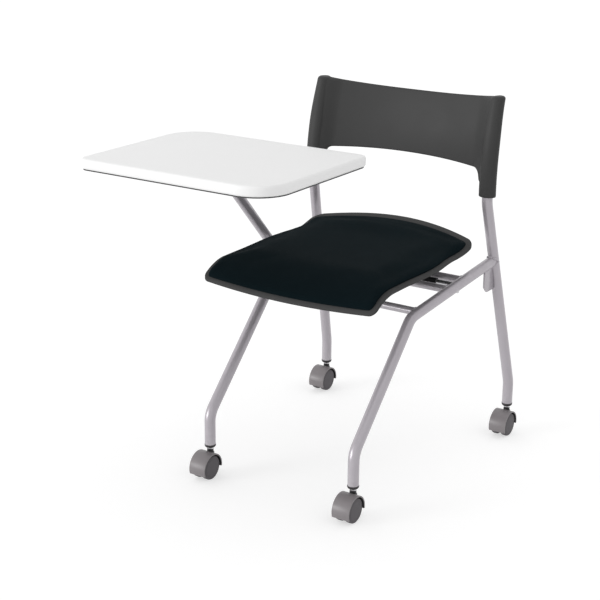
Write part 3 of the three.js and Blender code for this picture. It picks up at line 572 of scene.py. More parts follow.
class SharedEffects:
    """The node groups that more than one finish uses, each built once."""

    @staticmethod
    def begin(name: str, inputs: dict[str, float], outputs: Sequence[str]) -> tuple:
        """Starts a group with its sockets.

        Args:
            name: The group's name.
            inputs: Each input and its usual value.
            outputs: The outputs' names.

        Returns:
            The group, its writer, its input node, its output node and the place on the object.
        """
        group = bpy.data.node_groups.new(name, "ShaderNodeTree")
        writer = NodeTree(group)
        for key, value in inputs.items():
            socket = group.interface.new_socket(key, in_out="INPUT", socket_type="NodeSocketFloat")
            socket.default_value = value
        for key in outputs:
            group.interface.new_socket(key, in_out="OUTPUT", socket_type="NodeSocketFloat")
        given, out = writer.add("NodeGroupInput"), writer.add("NodeGroupOutput")
        return group, writer, given, out, writer.add("ShaderNodeTexCoord").outputs["Object"]

    @classmethod
    @cache
    def grain(cls) -> bpy.types.NodeTree:
        """Builds fine moulded or sprayed grain: a height, and a slow drift of tone.

        Returns:
            The group.
        """
        group, write, given, out, place = cls.begin(
            "fine_grain", {"Scale": 1800.0, "Drift Scale": 14.0}, ("Height", "Drift"))
        pits = write.noise(place, given.outputs["Scale"], 3.0, 0.6)
        cells = write.add("ShaderNodeTexVoronoi", {"feature": "SMOOTH_F1"}, Vector=place,
                          Scale=given.outputs["Scale"], Smoothness=0.6).outputs["Distance"]
        write.feed(out, "Height", write.math("MULTIPLY", pits, cells))
        write.feed(out, "Drift", write.noise(place, given.outputs["Drift Scale"], 4.0, 0.55))
        return group

    @classmethod
    @cache
    def edge_wear(cls) -> bpy.types.NodeTree:
        """Builds wear along outer edges and dust in inner corners, as two patchy masks.

        Returns:
            The group.
        """
        group, write, given, out, place = cls.begin(
            "edge_wear", {"Scale": 60.0, "Slack": 0.035, "Reach": 0.12, "Amount": 0.5}, ("Wear", "Dust"))
        flat = 0.5
        point = write.add("ShaderNodeNewGeometry").outputs["Pointiness"]
        patchy = write.ramp(write.noise(place, given.outputs["Scale"], 5.0, 0.6), 0.42, 0.62)
        for key, how in (("Wear", "ADD"), ("Dust", "SUBTRACT")):
            low, high = (write.math(how, flat, given.outputs[part]) for part in ("Slack", "Reach"))
            mask = write.math("MULTIPLY", write.ramp(point, low, high), patchy)
            write.feed(out, key, write.math("MULTIPLY", mask, given.outputs["Amount"]))
        return group

    @classmethod
    @cache
    def weave(cls) -> bpy.types.NodeTree:
        """Builds a plain weave of warp and weft seen from above, with its height, and that height again as
        painted shade for the hollows between threads.

        Returns:
            The group.
        """
        group, write, given, out, place = cls.begin("plain_weave", {"Threads": 620.0}, ("Height", "Shade"))
        ripple = write.noise(place, 26.0, 3.0, output="Color")
        stray = write.add("ShaderNodeVectorMath", {"operation": "MULTIPLY_ADD"}, i0=ripple,
                          i1=(0.0016, 0.0016, 0.0), i2=place).outputs[0]
        parts = write.add("ShaderNodeSeparateXYZ", i0=stray)
        waves = []
        for axis in (0, 1):
            turn = write.math("MULTIPLY", parts.outputs[axis], given.outputs["Threads"])
            waves.append(write.math("SINE", write.math("MULTIPLY", turn, math.pi), 0.0))
        over = write.math("MULTIPLY", *waves)
        warp, weft = (write.math("ABSOLUTE", wave, 0.0) for wave in waves)
        hidden, band = 0.2, 0.4
        warp = write.math("MULTIPLY", warp, write.ramp(over, -band, band, hidden, 1.0))
        weft = write.math("MULTIPLY", weft, write.ramp(over, -band, band, 1.0, hidden))
        height = write.math("MAXIMUM", warp, weft)
        fuzz = write.math("MULTIPLY", write.noise(place, 2600.0, 2.0), 0.3)
        write.feed(out, "Shade", height)
        write.feed(out, "Height", write.math("ADD", height, fuzz))
        return group


def linear(red: int, green: int, blue: int) -> tuple[float, float, float, float]:
    """Turns a colour as seen, from 0 to 255, into the shader's linear colour.

    Args:
        red: The red share.
        green: The green share.
        blue: The blue share.

    Returns:
        The linear colour with full alpha.
    """
    shares = [part / 255 for part in (red, green, blue)]
    return tuple(s / 12.92 if s <= 0.04045 else ((s + 0.055) / 1.055) ** 2.4 for s in shares) + (1.0,)


def blank_material(name: str) -> tuple[bpy.types.Material, NodeTree, bpy.types.Node]:
    """Starts a material with an empty tree.

    Args:
        name: The material's name.

    Returns:
        The material, its writer and its output node.
    """
    material = bpy.data.materials.new(name)
    material.use_nodes = True
    write = NodeTree(material.node_tree)
    return material, write, write.add("ShaderNodeOutputMaterial")


@dataclass(frozen=True)
class Finish:
    """A hard surface: a colour with drift, grain, worn edges and dust in its corners."""

    name: str
    slot: str
    colour: tuple[int, int, int]
    roughness: float
    worn: tuple[int, int, int]
    grain_scale: float
    grain_depth: float
    drift: float
    wear: float
    dust: float
    metallic: float = 0.0
    specular: float = 0.5
    coat: float = 0.0
    coat_roughness: float = 0.2
    bump: float = 0.35
    spread: float = 0.05
    dust_colour: tuple[int, int, int] = (122, 118, 112)
    dust_roughness: float = 0.4

    @cache
    def material(self) -> bpy.types.Material:
        """The finish's material, made the first time it is asked for.

        Returns:
            The material.
        """
        material, write, out = blank_material(self.name)
        grain = write.add("ShaderNodeGroup", {"node_tree": SharedEffects.grain()}, Scale=self.grain_scale)
        edges = write.add("ShaderNodeGroup", {"node_tree": SharedEffects.edge_wear()}, Amount=1.0)
        base = linear(*self.colour)
        dark, light = ((*(min(c * (1 + way * self.drift), 1.0) for c in base[:3]), 1.0) for way in (-1, 1))
        colour = write.blend(write.ramp(grain.outputs["Drift"], 0.35, 0.65), dark, light)
        wear = write.math("MULTIPLY", edges.outputs["Wear"], self.wear)
        dust = write.math("MULTIPLY", edges.outputs["Dust"], self.dust)
        colour = write.blend(wear, colour, linear(*self.worn))
        colour = write.blend(dust, colour, linear(*self.dust_colour))
        rough = write.ramp(grain.outputs["Drift"], 0.3, 0.7, self.roughness - self.spread,
                           self.roughness + self.spread)
        rough = write.math("ADD", rough, write.math("MULTIPLY", dust, self.dust_roughness))
        bump = write.add("ShaderNodeBump", Strength=self.bump, Distance=self.grain_depth * MM,
                         Height=grain.outputs["Height"])
        shader = write.add("ShaderNodeBsdfPrincipled", Base_Color=colour, Roughness=rough,
                           Metallic=self.metallic, Normal=bump.outputs[0], Specular_IOR_Level=self.specular,
                           Coat_Weight=self.coat, Coat_Roughness=self.coat_roughness)
        write.feed(out, "Surface", shader.outputs[0])
        return material


@dataclass(frozen=True)
class Cloth:
    """Woven seat cloth: warp and weft, stray fibres, painted shade between the threads and a soft sheen."""

    name: str = "woven_seat_cloth"
    slot: str = "seat_cloth"
    colour: tuple[int, int, int] = (14, 26, 30)
    # Painted shade: the colour of the hollows between the threads.
    deep: tuple[int, int, int] = (7, 15, 18)
    pale: tuple[int, int, int] = (17, 29, 33)
    pale_share: float = 0.3
    threads: float = 620.0
    patch_scale: float = 22.0
    thread_depth: float = 0.22
    bump: float = 0.55
    roughness: float = 0.92
    specular: float = 0.04
    sheen: float = 0.006
    sheen_roughness: float = 0.45

    @cache
    def material(self) -> bpy.types.Material:
        """The cloth's material, made the first time it is asked for.

        Returns:
            The material.
        """
        material, write, out = blank_material(self.name)
        weave = write.add("ShaderNodeGroup", {"node_tree": SharedEffects.weave()}, Threads=self.threads)
        grain = write.add("ShaderNodeGroup", {"node_tree": SharedEffects.grain()},
                          Drift_Scale=self.patch_scale)
        # Painted shade: the weave's low places between the threads take the darker colour.
        colour = write.blend(weave.outputs["Shade"], linear(*self.deep), linear(*self.colour))
        drift = write.ramp(grain.outputs["Drift"], 0.3, 0.7, 0.0, self.pale_share)
        colour = write.blend(drift, colour, linear(*self.pale))
        bump = write.add("ShaderNodeBump", Strength=self.bump, Distance=self.thread_depth * MM,
                         Height=weave.outputs["Height"])
        shader = write.add("ShaderNodeBsdfPrincipled", Base_Color=colour, Roughness=self.roughness,
                           Normal=bump.outputs[0], Specular_IOR_Level=self.specular,
                           Sheen_Weight=self.sheen, Sheen_Roughness=self.sheen_roughness)
        write.feed(out, "Surface", shader.outputs[0])
        return material


SILVER = Finish("silver_powder_coat", "frame_paint", (178, 173, 179), 0.34, (208, 206, 208), grain_scale=2600,
                grain_depth=0.008, drift=0.03, wear=0.35, dust=0.2, metallic=0.35, coat=0.25)
STEEL = Finish("bright_zinc_steel", "bright_steel", (208, 208, 210), 0.22, (228, 228, 228), grain_scale=900,
               grain_depth=0.01, drift=0.05, wear=0.3, dust=0.15, metallic=1.0)
SHELL = Finish("moulded_back_plastic", "shell_plastic", (58, 58, 58), 0.55, (92, 92, 92), grain_scale=1500,
               grain_depth=0.07, drift=0.04, wear=0.2, dust=0.1, specular=0.22)
TRAY = Finish("moulded_tray_plastic", "shell_plastic", (71, 71, 71), 0.8, (96, 96, 96), grain_scale=1500,
              grain_depth=0.07, drift=0.04, wear=0.2, dust=0.1, specular=0.08)
BLACK = Finish("black_nylon", "black_plastic", (28, 28, 30), 0.45, (66, 66, 66), grain_scale=1400,
               grain_depth=0.05, drift=0.08, wear=0.35, dust=0.2)
RUBBER = Finish("soft_black_rubber", "rubber", (24, 24, 25), 0.8, (52, 52, 52), grain_scale=1100,
                grain_depth=0.06, drift=0.1, wear=0.25, dust=0.3, specular=0.3)
WHITE = Finish("white_tablet_laminate", "tablet_white", (246, 246, 246), 0.38, (238, 238, 236),
               grain_scale=2200, grain_depth=0.012, drift=0.006, wear=0.15, dust=0.04, specular=0.4)
BACKING = Finish("dark_tablet_backing", "tablet_dark", (58, 58, 60), 0.6, (90, 90, 90), grain_scale=900,
                 grain_depth=0.05, drift=0.08, wear=0.3, dust=0.15)
HOOD = Finish("caster_hood_nylon", "caster_grey", (128, 123, 125), 0.38, (156, 153, 153), grain_scale=1500,
              grain_depth=0.04, drift=0.04, wear=0.3, dust=0.2)
WHEEL = Finish("caster_wheel_nylon", "wheel_grey", (80, 76, 80), 0.55, (128, 124, 128), grain_scale=1200,
               grain_depth=0.05, drift=0.05, wear=0.4, dust=0.3)
FITTING = Finish("dark_grey_end_fitting", "black_plastic", (60, 58, 60), 0.5, (92, 90, 92), grain_scale=1400,
                 grain_depth=0.05, drift=0.06, wear=0.3, dust=0.2, specular=0.3)
CLOTH = Cloth()


def dress(piece: Piece, finish: Finish | Cloth, body: str, *nodes: str, angle: float = SHARP_ANGLE) -> None:
    """Gives a finished piece its material and the body that it rides on, and hides the solids that it stands
    for.

    Args:
        piece: The finished piece.
        finish: What it is finished in.
        body: The body that it moves with.
        *nodes: The solids that it stands for.
        angle: Edges above this angle in degrees stay sharp.
    """
    Bench.hold(piece)
    bpy.ops.object.shade_smooth_by_angle(angle=math.radians(angle))
    if not piece.data.materials:
        piece.data.materials.append(finish.material())
    if nodes:
        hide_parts(*nodes)
    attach(piece, body)
    log.info("%s: %d faces on %s", piece.name, len(piece.data.polygons), body)


def dress_pair(left: Piece, finish: Finish, body: str, *nodes: str, angle: float = SHARP_ANGLE) -> None:
    """Mirrors a left piece and dresses both.

    Args:
        left: The left piece, with its side in its name.
        finish: What both are finished in.
        body: The body that both move with.
        *nodes: The solids that the left piece stands for, with their side in their names.
        angle: Edges above this angle in degrees stay sharp.
    """
    right = Bench.mirrored(left, left.name.replace("left", "right"))
    dress(left, finish, body, *nodes, angle=angle)
    dress(right, finish, body, *[node.replace("left", "right") for node in nodes], angle=angle)


def dress_copy(node: str, name: str, finish: Finish, body: str, rounding: tuple[float, int, float],
               angle: float) -> None:
    """Copies a solid of the frame, rounds its sharp edges and dresses it.

    Args:
        node: The solid's node.
        name: The piece's name.
        finish: What it is finished in.
        body: The body that it moves with.
        rounding: The rounding's width in millimetres, its steps, and the least angle that is rounded.
        angle: Edges above this angle in degrees stay sharp.
    """
    piece = Bench.merged_copy(node, name)
    Bench.ease(piece, *rounding)
    dress(piece, finish, body, node, angle=angle)


def dress_screw(node: str, name: str, body: str, radius: float, height: float) -> None:
    """Turns a round-headed screw, head down with a socket in it, where a solid stands.

    Args:
        node: The solid's node.
        name: The screw's name.
        body: The body that it moves with.
        radius: The head's radius in millimetres.
        height: The head's height in millimetres.
    """
    dress(screw_at(node, name, radius, height), STEEL, body, node)


def screw_at(node: str, name: str, radius: float, height: float) -> Piece:
    """Turns a round-headed screw, head down with a socket in it, where a solid stands.

    Args:
        node: The solid's node.
        name: The screw's name.
        radius: The head's radius in millimetres.
        height: The head's height in millimetres.

    Returns:
        The screw.
    """
    head = ((0, 0.45), (0.42, 0.5), (0.46, 1), (0.72, 0.96), (0.93, 0.7), (1, 0.35), (1, 0))
    shank = 2.5
    low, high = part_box(node)
    place = Vector(((low.x + high.x) / 2, (low.y + high.y) / 2, low.z + height * MM))
    length = (high.z - place.z) / MM
    profile = [(radius * across, -height * down) for across, down in head]
    return Bench.turned(name, profile + [(shank, 0), (shank, length), (0, length)], place, steps=24)


# Steel frame


@dataclass
class TubularFrame:
    """The bent tubes of the frame, their cross tubes, welds and nesting stops."""

    tube_radius: float = 11.1
    tube_wall: float = 1.6
    cross_radius: float = 7.95
    cross_wall: float = 1.5
    leg_end: float = 66.5
    rear_low: Vector = point_field(231.9, 0, 117)
    knee: Vector = point_field(208.5, -102.6, 532.8)
    top: Vector = point_field(205, -73, 728)
    bow: float = 8.5
    bow_stations: tuple[float, ...] = (0.25, 0.5, 0.75)
    front_low: Vector = point_field(168.6, -539.3, 133.2)
    arm_front: Vector = point_field(168, -333.1, 344.5)
    arm_rear_height: float = 406.2
    leg_bend: float = 42
    knee_bend: float = 70
    bow_bend: float = 420
    cross_ys: tuple[tuple[str, float], ...] = (("front", -308.9), ("middle", -211.5), ("rear", -167.8))
    cross_bead: float = 1.5
    arm_bead: float = 2.8

    @property
    def arm_rear(self) -> Vector:
        """Where the side arm's axis meets the rear upright's axis."""
        share = (self.arm_rear_height - self.rear_low.z) / (self.knee.z - self.rear_low.z)
        return self.rear_low.lerp(self.knee, share)

    def on_arm(self, y: float) -> Vector:
        """The left side arm's axis at a distance from the rear casters' stems."""
        start, end = self.arm_front, self.arm_rear
        return start.lerp(end, (y - start.y) / (end.y - start.y))

    def upright_at(self, share: float) -> Vector:
        """The left upright's axis, bowed forwards, by share of the way from its knee to its top.

        Args:
            share: The share of the way, from 0 to 1.

        Returns:
            The point in millimetres.
        """
        point = self.knee.lerp(self.top, share)
        point.y -= self.bow * 4 * share * (1 - share)
        return point

    def build_leg(self) -> None:
        """Builds the front legs, each one tube with its side arm."""
        foot = Vector((self.front_low.x, self.front_low.y, self.leg_end))
        path = Bench.placed([foot, self.front_low, self.arm_front, self.arm_rear])
        left = Bench.pipe("front_leg_left", path, self.tube_radius, self.tube_wall, [self.leg_bend] * 2)
        dress_pair(left, SILVER, "frame", "front_leg_tube_left")

    def build_upright(self) -> None:
        """Builds the rear uprights, bowed above their knees."""
        foot = Vector((self.rear_low.x, self.rear_low.y, self.leg_end))
        bowed = [self.upright_at(share) for share in self.bow_stations]
        path = Bench.placed([foot, self.rear_low, self.knee, *bowed, self.top])
        bends = [self.knee_bend] * 2 + [self.bow_bend] * len(bowed)
        left = Bench.pipe("rear_upright_left", path, self.tube_radius, self.tube_wall, bends, steps=6)
        dress_pair(left, SILVER, "frame", "rear_upright_tube_left")

    def build_cross_tubes(self) -> None:
        """Builds the three cross tubes and the beads that hold them."""
        way = Bench.at(*self.arm_rear) - Bench.at(*self.arm_front)
        for word, y in self.cross_ys:
            left = self.on_arm(y)
            ends = Bench.placed([Vector((-left.x, left.y, left.z)), left])
            tube = Bench.pipe(f"cross_tube_bar_{word}", ends, self.cross_radius, self.cross_wall, sides=32)
            dress(tube, SILVER, "frame", f"cross_tube_{word}")
            bead = Bench.bead(f"cross_tube_weld_{word}_left", ends[1], ends[1] - ends[0], self.cross_radius,
                              (ends[1], way, self.tube_radius), self.cross_bead)
            dress_pair(bead, SILVER, "frame")

    def build_arm_welds(self) -> None:
        """Lays the beads where the side arms meet the uprights."""
        end, front = Bench.at(*self.arm_rear), Bench.at(*self.arm_front)
        way = Bench.at(*self.knee) - Bench.at(*self.rear_low)
        bead = Bench.bead("side_arm_weld_left", end, end - front, self.tube_radius,
                          (end, way, self.tube_radius), self.arm_bead)
        dress_pair(bead, SILVER, "frame")

    def build_nesting_stops(self) -> None:
        """Builds the small plates in the corners under the side arms."""
        for side in Side:
            dress_copy(f"nesting_stop_{side.word}", f"nesting_plate_{side.word}", SILVER, "frame",
                       (0.8, 2, 40), SHARP_ANGLE)

    def build(self) -> None:
        """Builds the whole frame."""
        self.build_leg()
        self.build_upright()
        self.build_cross_tubes()
        self.build_arm_welds()
        self.build_nesting_stops()


@dataclass
class SeatHinge:
    """The rod that the seat tips on, its lock screws, brackets and bumpers.

    The neck's points and the boss are measured from the rod, the web and the foot as everything else.
    """

    frame: TubularFrame
    y: float = HINGE_Y
    rod_radius: float = 5
    rod_inset: float = 4
    bracket_x: float = 66
    sleeve_radius: float = 7.5
    sleeve_end: float = 148
    boss_radius: float = 12
    boss_half: float = 14
    boss_core: float = 9
    boss_arc: tuple[float, float] = (170, 296)
    boss_steps: int = 8
    web_half: float = 8
    web_ys: tuple[float, float] = (-160, -332)
    web_zs: tuple[float, float] = (430, 417)
    foot: tuple = ((-323.9, 379.8), (-323.9, 364.8), (-293.9, 364.8), (-278.9, 396.4))
    neck_start: float = -46.2
    neck_front: tuple[float, float] = (-34.2, 11.1)
    neck_rear: tuple = ((-14.6, 32.9), (12, 36))
    flange_half: float = 24
    flange_ys: tuple[float, float] = (-334, -158)
    flange_zs: tuple[float, float] = (418.4, 433)
    bracket_round: float = 1.0

    @property
    def z(self) -> float:
        """The rod's height."""
        return self.frame.on_arm(self.y).z

    def build_rod(self) -> None:
        """Builds the rod, with eased ends."""
        reach = self.frame.on_arm(self.y)
        ends = Bench.placed([Vector((side * (reach.x + self.rod_inset), reach.y, reach.z))
                             for side in (-1, 1)])
        rod = Bench.pipe("hinge_rod", ends, self.rod_radius, 0, sides=32)
        Bench.ease(rod, 0.8, 2, 60)
        dress(rod, STEEL, "frame", "seat_hinge_rod")

    def build_lock_screws(self) -> None:
        """Builds the screws that hold the rod's ends."""
        node = "hinge_lock_screw_left"
        dress_pair(screw_at(node, "lock_screw_left", 4.25, 3.2), STEEL, "frame", node)

    def bracket_outline(self) -> list[tuple[float, float]]:
        """The bracket's web, foot, neck and boss, seen from the side.

        Returns:
            Pairs of y and z in millimetres.
        """
        (rear, front), (top, low) = self.web_ys, self.web_zs
        start, turn = self.boss_arc
        angles = [math.radians(start + turn * step / self.boss_steps) for step in range(self.boss_steps + 1)]
        boss = [(self.boss_core * math.cos(angle), self.boss_core * math.sin(angle)) for angle in angles]
        neck = [(self.y + y, self.z + z) for y, z in (self.neck_front, *boss, *self.neck_rear)]
        return [(rear, top), (front, top), (front, low), *self.foot,
                (self.y + self.neck_start, self.foot[-1][1]), *neck, (rear, low)]

    def build_brackets(self) -> None:
        """Builds the seat's brackets: a web with a boss and a foot, under a broad flange."""
        x, axis, outline = self.bracket_x, (self.y, self.z), self.bracket_outline()
        web = Bench.ringed("seat_hanger_left", len(outline), 2, lambda index, row: Bench.at(
            x - self.web_half + 2 * self.web_half * row, *outline[index]))
        (front, rear), (low, high) = self.flange_ys, self.flange_zs
        flange = Bench.block("flange", Bench.at(x - self.flange_half, front, low),
                             Bench.at(x + self.flange_half, rear, high))
        boss = Bench.drum("boss", Bench.at(x - self.boss_half, *axis), Bench.at(x + self.boss_half, *axis),
                          self.boss_radius, 40)
        sleeve = Bench.drum("sleeve", Bench.at(x, *axis), Bench.at(self.sleeve_end, *axis),
                            self.sleeve_radius, 32)
        for part in (web, flange, boss, sleeve):
            Bench.ease(part, self.bracket_round, 3, 50)
        Bench.cut(web, flange, boss, sleeve, how="UNION")
        dress_pair(web, BLACK, "seat", "seat_bracket_left", angle=35)

    def build_bumpers(self) -> None:
        """Builds the rubber saddles under the brackets' feet."""
        for side in Side:
            dress_copy(f"seat_bumper_{side.word}", f"seat_saddle_{side.word}", RUBBER, "frame",
                       (1.2, 3, 50), 40)

    def build_seat_screws(self) -> None:
        """Builds the four screws that hold the shell to its brackets."""
        for side in Side:
            for word in ("rear", "front"):
                place = f"{word}_{side.word}"
                dress_screw(f"seat_screw_{place}", f"shell_screw_{place}", "seat", 5, 3.5)

    def build(self) -> None:
        """Builds the whole hinge."""
        self.build_rod()
        self.build_lock_screws()
        self.build_brackets()
        self.build_bumpers()
        self.build_seat_screws()


# Seat


@dataclass
class SeatShell:
    """The moulded seat shell, with its lifted rear, drooped front and drawn-in waist.

    A section is pairs of inset from the outline and rise above the top, from the middle round the rim.
    """

    height: float = 438.4
    rear: float = -74
    front: float = -531.5
    width_shares: tuple[float, ...] = (0, 0.15, 0.27, 0.5, 0.75, 1)
    half_widths: tuple[float, ...] = (197, 193.6, 190.3, 200, 196, 195.7)
    rear_corner: float = 22
    front_corner: float = 12.2
    rear_bow: float = 43.7
    front_bow: float = 9
    rear_lift: float = 29.4
    lift_length: float = 120
    lift_power: float = 1.68
    front_drop: float = 33.7
    drop_length: float = 81.3
    dish: float = 7
    thickness: float = 8
    points_across: int = 64
    points_along: int = 96
    top_insets: tuple[float, ...] = (165, 120, 80, 50, 30, 18, 11, 6, 3.2)
    rim_top: tuple = ((1.9, -0.15), (1.0, -0.6), (0.35, -1.3), (0.0, -2.4))
    rim_under: tuple = ((0.0, 2.6), (0.3, 1.5), (0.9, 0.6), (1.9, 0.1))
    under_insets: tuple[float, ...] = (3.2, 6, 11, 20, 34, 55, 85, 120, 165)

    @staticmethod
    def loss(radius: float, distance: float) -> float:
        """How far a round corner draws the edge in, at a distance from the edge.

        Args:
            radius: The corner's radius in millimetres.
            distance: The distance in millimetres.

        Returns:
            The inset in millimetres.
        """
        if distance >= radius:
            return 0.0
        into = radius - max(distance, 0.0)
        return radius - math.sqrt(max(radius * radius - into * into, 0.0))

    def half_width(self, y: float) -> float:
        """Half the seat's width at a distance from the rear casters' stems.

        Args:
            y: The distance behind the rear casters' stems, in millimetres.

        Returns:
            The half width in millimetres.
        """
        share = (self.rear - y) / (self.rear - self.front)
        width = self.half_widths[0]
        pairs = zip(self.width_shares, self.width_shares[1:], self.half_widths, self.half_widths[1:])
        for start, end, before, after in pairs:
            width += soft_step(share, start, end) * (after - before)
        return width

    def edge_height(self, y: float) -> float:
        """The height of the seat's edge at a distance from the rear casters' stems.

        Args:
            y: The distance behind the rear casters' stems, in millimetres.

        Returns:
            The height in millimetres.
        """
        lift = min(max((y - self.rear + self.lift_length) / self.lift_length, 0.0), 1.0)
        drop = max((self.front + self.drop_length - y) / self.drop_length, 0.0)
        return self.height + self.rear_lift * lift ** self.lift_power - self.front_drop * drop ** 2

    def top_height(self, x: float, y: float) -> float:
        """The height of the seat's dished top at a place.

        Args:
            x: The distance left of the middle, in millimetres.
            y: The distance behind the rear casters' stems, in millimetres.

        Returns:
            The height in millimetres.
        """
        along = share_of(y, self.rear - self.rear_bow, self.front + self.front_bow)
        across = x / self.half_width(y)
        dish = self.dish * max(1 - across * across, 0.0) * 2 * math.sqrt(along * (1 - along))
        return self.edge_height(y) - dish

    def surface(self, u: float, v: float, inset: float, rise: float) -> Vector:
        """A point on or above the seat's top.

        Args:
            u: The place across, from -1 to 1.
            v: The place along, from 0 at the rear to 1 at the front.
            inset: How far the outline is drawn in, in millimetres.
            rise: How far the point lies above the top, in millimetres.

        Returns:
            The point in metres.
        """
        eased = (1 - math.cos(math.pi * v)) / 2
        rear = self.rear - self.rear_bow - inset
        front = self.front + self.front_bow + inset
        y = rear + (front - rear) * eased
        corner = self.loss(self.rear_corner - inset, rear - y) + self.loss(self.front_corner, y - front)
        x = u * (self.half_width(y) - inset - corner)
        bow = self.rear_bow if 2 * v < 1 else self.front_bow
        y += bow * (1 - (x / self.half_width(y)) ** 2) * (1 - 2 * eased)
        return Bench.at(x, y, self.top_height(x, y) + rise)

    def outline(self) -> list[tuple[float, float]]:
        """The places round the edge, rear, left, front and right, as u and v.

        Returns:
            Pairs of u and v.
        """
        across, along = self.points_across, self.points_along
        rear = [(-1 + 2 * k / across, 0.0) for k in range(across)]
        left = [(1.0, k / along) for k in range(along)]
        front = [(1 - 2 * k / across, 1.0) for k in range(across)]
        right = [(-1.0, 1 - k / along) for k in range(along)]
        return rear + left + front + right

    def skin(self, name: str, profile: Callable[[float], Pairs]) -> Piece:
        """Builds a closed skin that follows the outline.

        Args:
            name: The skin's name.
            profile: Gives the section at a share of the way from the rear to the front.

        Returns:
            The skin.
        """
        edge = self.outline()
        sections = [profile(v) for _, v in edge]
        return Bench.ringed(name, len(edge), len(sections[0]),
                            lambda index, row: self.surface(*edge[index], *sections[index][row]))

    def build(self) -> None:
        """Builds the shell from rings, with a rounded rim."""
        section = [(inset, 0.0) for inset in self.top_insets]
        section += self.rim_top
        section += [(inset, rise - self.thickness) for inset, rise in self.rim_under]
        section += [(inset, -self.thickness) for inset in self.under_insets]
        dress(self.skin("seat_tray", lambda along: section), TRAY, "seat", "seat_shell", angle=60)


@dataclass
class SeatPad:
    """The upholstered pad: a clean skin that takes the swelling of a copy inflated as cloth."""

    shell: SeatShell
    inset: float = 9.6
    rise: float = 12.0
    crown: float = 4.2
    crown_reach: float = 60
    dome_reach: float = 14
    rear_inset: float = 6.5
    rear_rise: float = 4.0
    rear_share: float = 0.22
    front_inset: float = -5.6
    front_share: float = 0.14
    top_insets: tuple[float, ...] = (165, 125, 95, 70, 52, 40, 31, 24, 18, 13, 9, 6, 4, 2.4, 1.2, 0.4)
    side_shares: tuple = ((0, 0.2), (-0.1, 0.09))
    foot: tuple[float, float] = (0.6, 0.2)
    under_insets: tuple[float, ...] = (4, 20, 60, 120, 160)
    under_gap: float = 0.1
    voxel: float = 5.0
    shrink: float = 0.8
    held_slope: float = -0.2
    swell_cap: float = 5.0
    pressure: float = 4.0
    steps: int = 20
    reach: float = 16.0
    still_height: float = 2.5
    moving_height: float = 9

    def profile(self, along: float) -> list[tuple[float, float]]:
        """The pad's section, from the middle of its top round its edge to its underside.

        Args:
            along: The share of the way from the rear to the front.

        Returns:
            Pairs of inset and rise in millimetres.
        """
        rear = (1 + math.cos(math.pi * min(along / self.rear_share, 1.0))) / 2
        front = (1 + math.cos(math.pi * min((1 - along) / self.front_share, 1.0))) / 2
        edge = self.inset + self.rear_inset * rear + self.front_inset * front
        rise = self.rise + (self.rear_rise - self.rise) * rear
        section = []
        for inset in self.top_insets:
            dome = math.sqrt(max(1 - (1 - min(inset / self.dome_reach, 1.0)) ** 2, 0.0))
            into = min(inset / self.crown_reach, 1.0)
            settled = rise + (self.rise - rise) * soft_step(into, 0, 1)
            section.append((edge + inset, settled * dome + self.crown * math.sin(into * math.pi / 2)))
        section += [(edge + inset, rise * share) for inset, share in self.side_shares]
        section.append((edge + self.foot[0], self.foot[1]))
        return section + [(edge + inset, self.under_gap) for inset in self.under_insets]

    def inflate(self, pad: Piece) -> list[tuple[Vector, Vector]]:
        """Swells a remeshed copy as cloth under pressure, its underside held.

        Args:
            pad: The clean pad.

        Returns:
            Each point of the copy and how far it moved, capped.
        """
        copy = Bench.twin(pad, "seat_cushion_form", Matrix.Identity(4))
        Bench.shape(copy, "REMESH", mode="VOXEL", voxel_size=self.voxel * MM)
        before = [vertex.co.copy() for vertex in copy.data.vertices]
        Bench.shape(copy, "DISPLACE", strength=-self.shrink * MM, mid_level=0.0)
        held = copy.vertex_groups.new(name="underside")
        for vertex in copy.data.vertices:
            held.add([vertex.index], 1.0 if vertex.normal.z < self.held_slope else 0.0, "REPLACE")
        Bench.hold(copy)
        cloth = copy.modifiers.new("cloth", "CLOTH")
        cloth.settings.use_pressure = True
        cloth.settings.uniform_pressure_force = self.pressure
        cloth.settings.effector_weights.gravity = 0
        cloth.settings.vertex_group_mass = "underside"
        for number in range(1, self.steps + 1):
            bpy.context.scene.frame_set(number)
        bpy.ops.object.modifier_apply(modifier=cloth.name)
        bpy.context.scene.frame_set(1)
        moves = []
        for vertex, start in zip(copy.data.vertices, before):
            way = vertex.co - start
            if way.length > self.swell_cap * MM:
                way *= self.swell_cap * MM / way.length
            moves.append((start, way))
        bpy.data.objects.remove(copy, do_unlink=True)
        return moves

    def take_up(self, pad: Piece, moves: list[tuple[Vector, Vector]]) -> None:
        """Moves the clean pad's upper points as the simulated copy's points near them moved.

        Args:
            pad: The clean pad.
            moves: Points of the copy and how far each moved.
        """
        tree = KDTree(len(moves))
        for index, (start, _) in enumerate(moves):
            tree.insert(start, index)
        tree.balance()
        for vertex in pad.data.vertices:
            x, y, z = (vertex.co - Bench.origin) / MM
            height = z - self.shell.top_height(x, y)
            hold = min(max((height - self.still_height) / self.moving_height, 0.0), 1.0)
            near = tree.find_range(vertex.co, self.reach * MM)
            weights = [1 - distance / (self.reach * MM) for _, _, distance in near]
            if hold and sum(weights):
                way = Vector((0, 0, 0))
                for (_, index, _), weight in zip(near, weights):
                    way += moves[index][1] * weight
                vertex.co += way * (hold / sum(weights))

    def build(self) -> None:
        """Builds the pad on the shell."""
        pad = self.shell.skin("seat_cushion", self.profile)
        self.take_up(pad, self.inflate(pad))
        dress(pad, CLOTH, "seat", "seat_pad", angle=70)


# Backrest


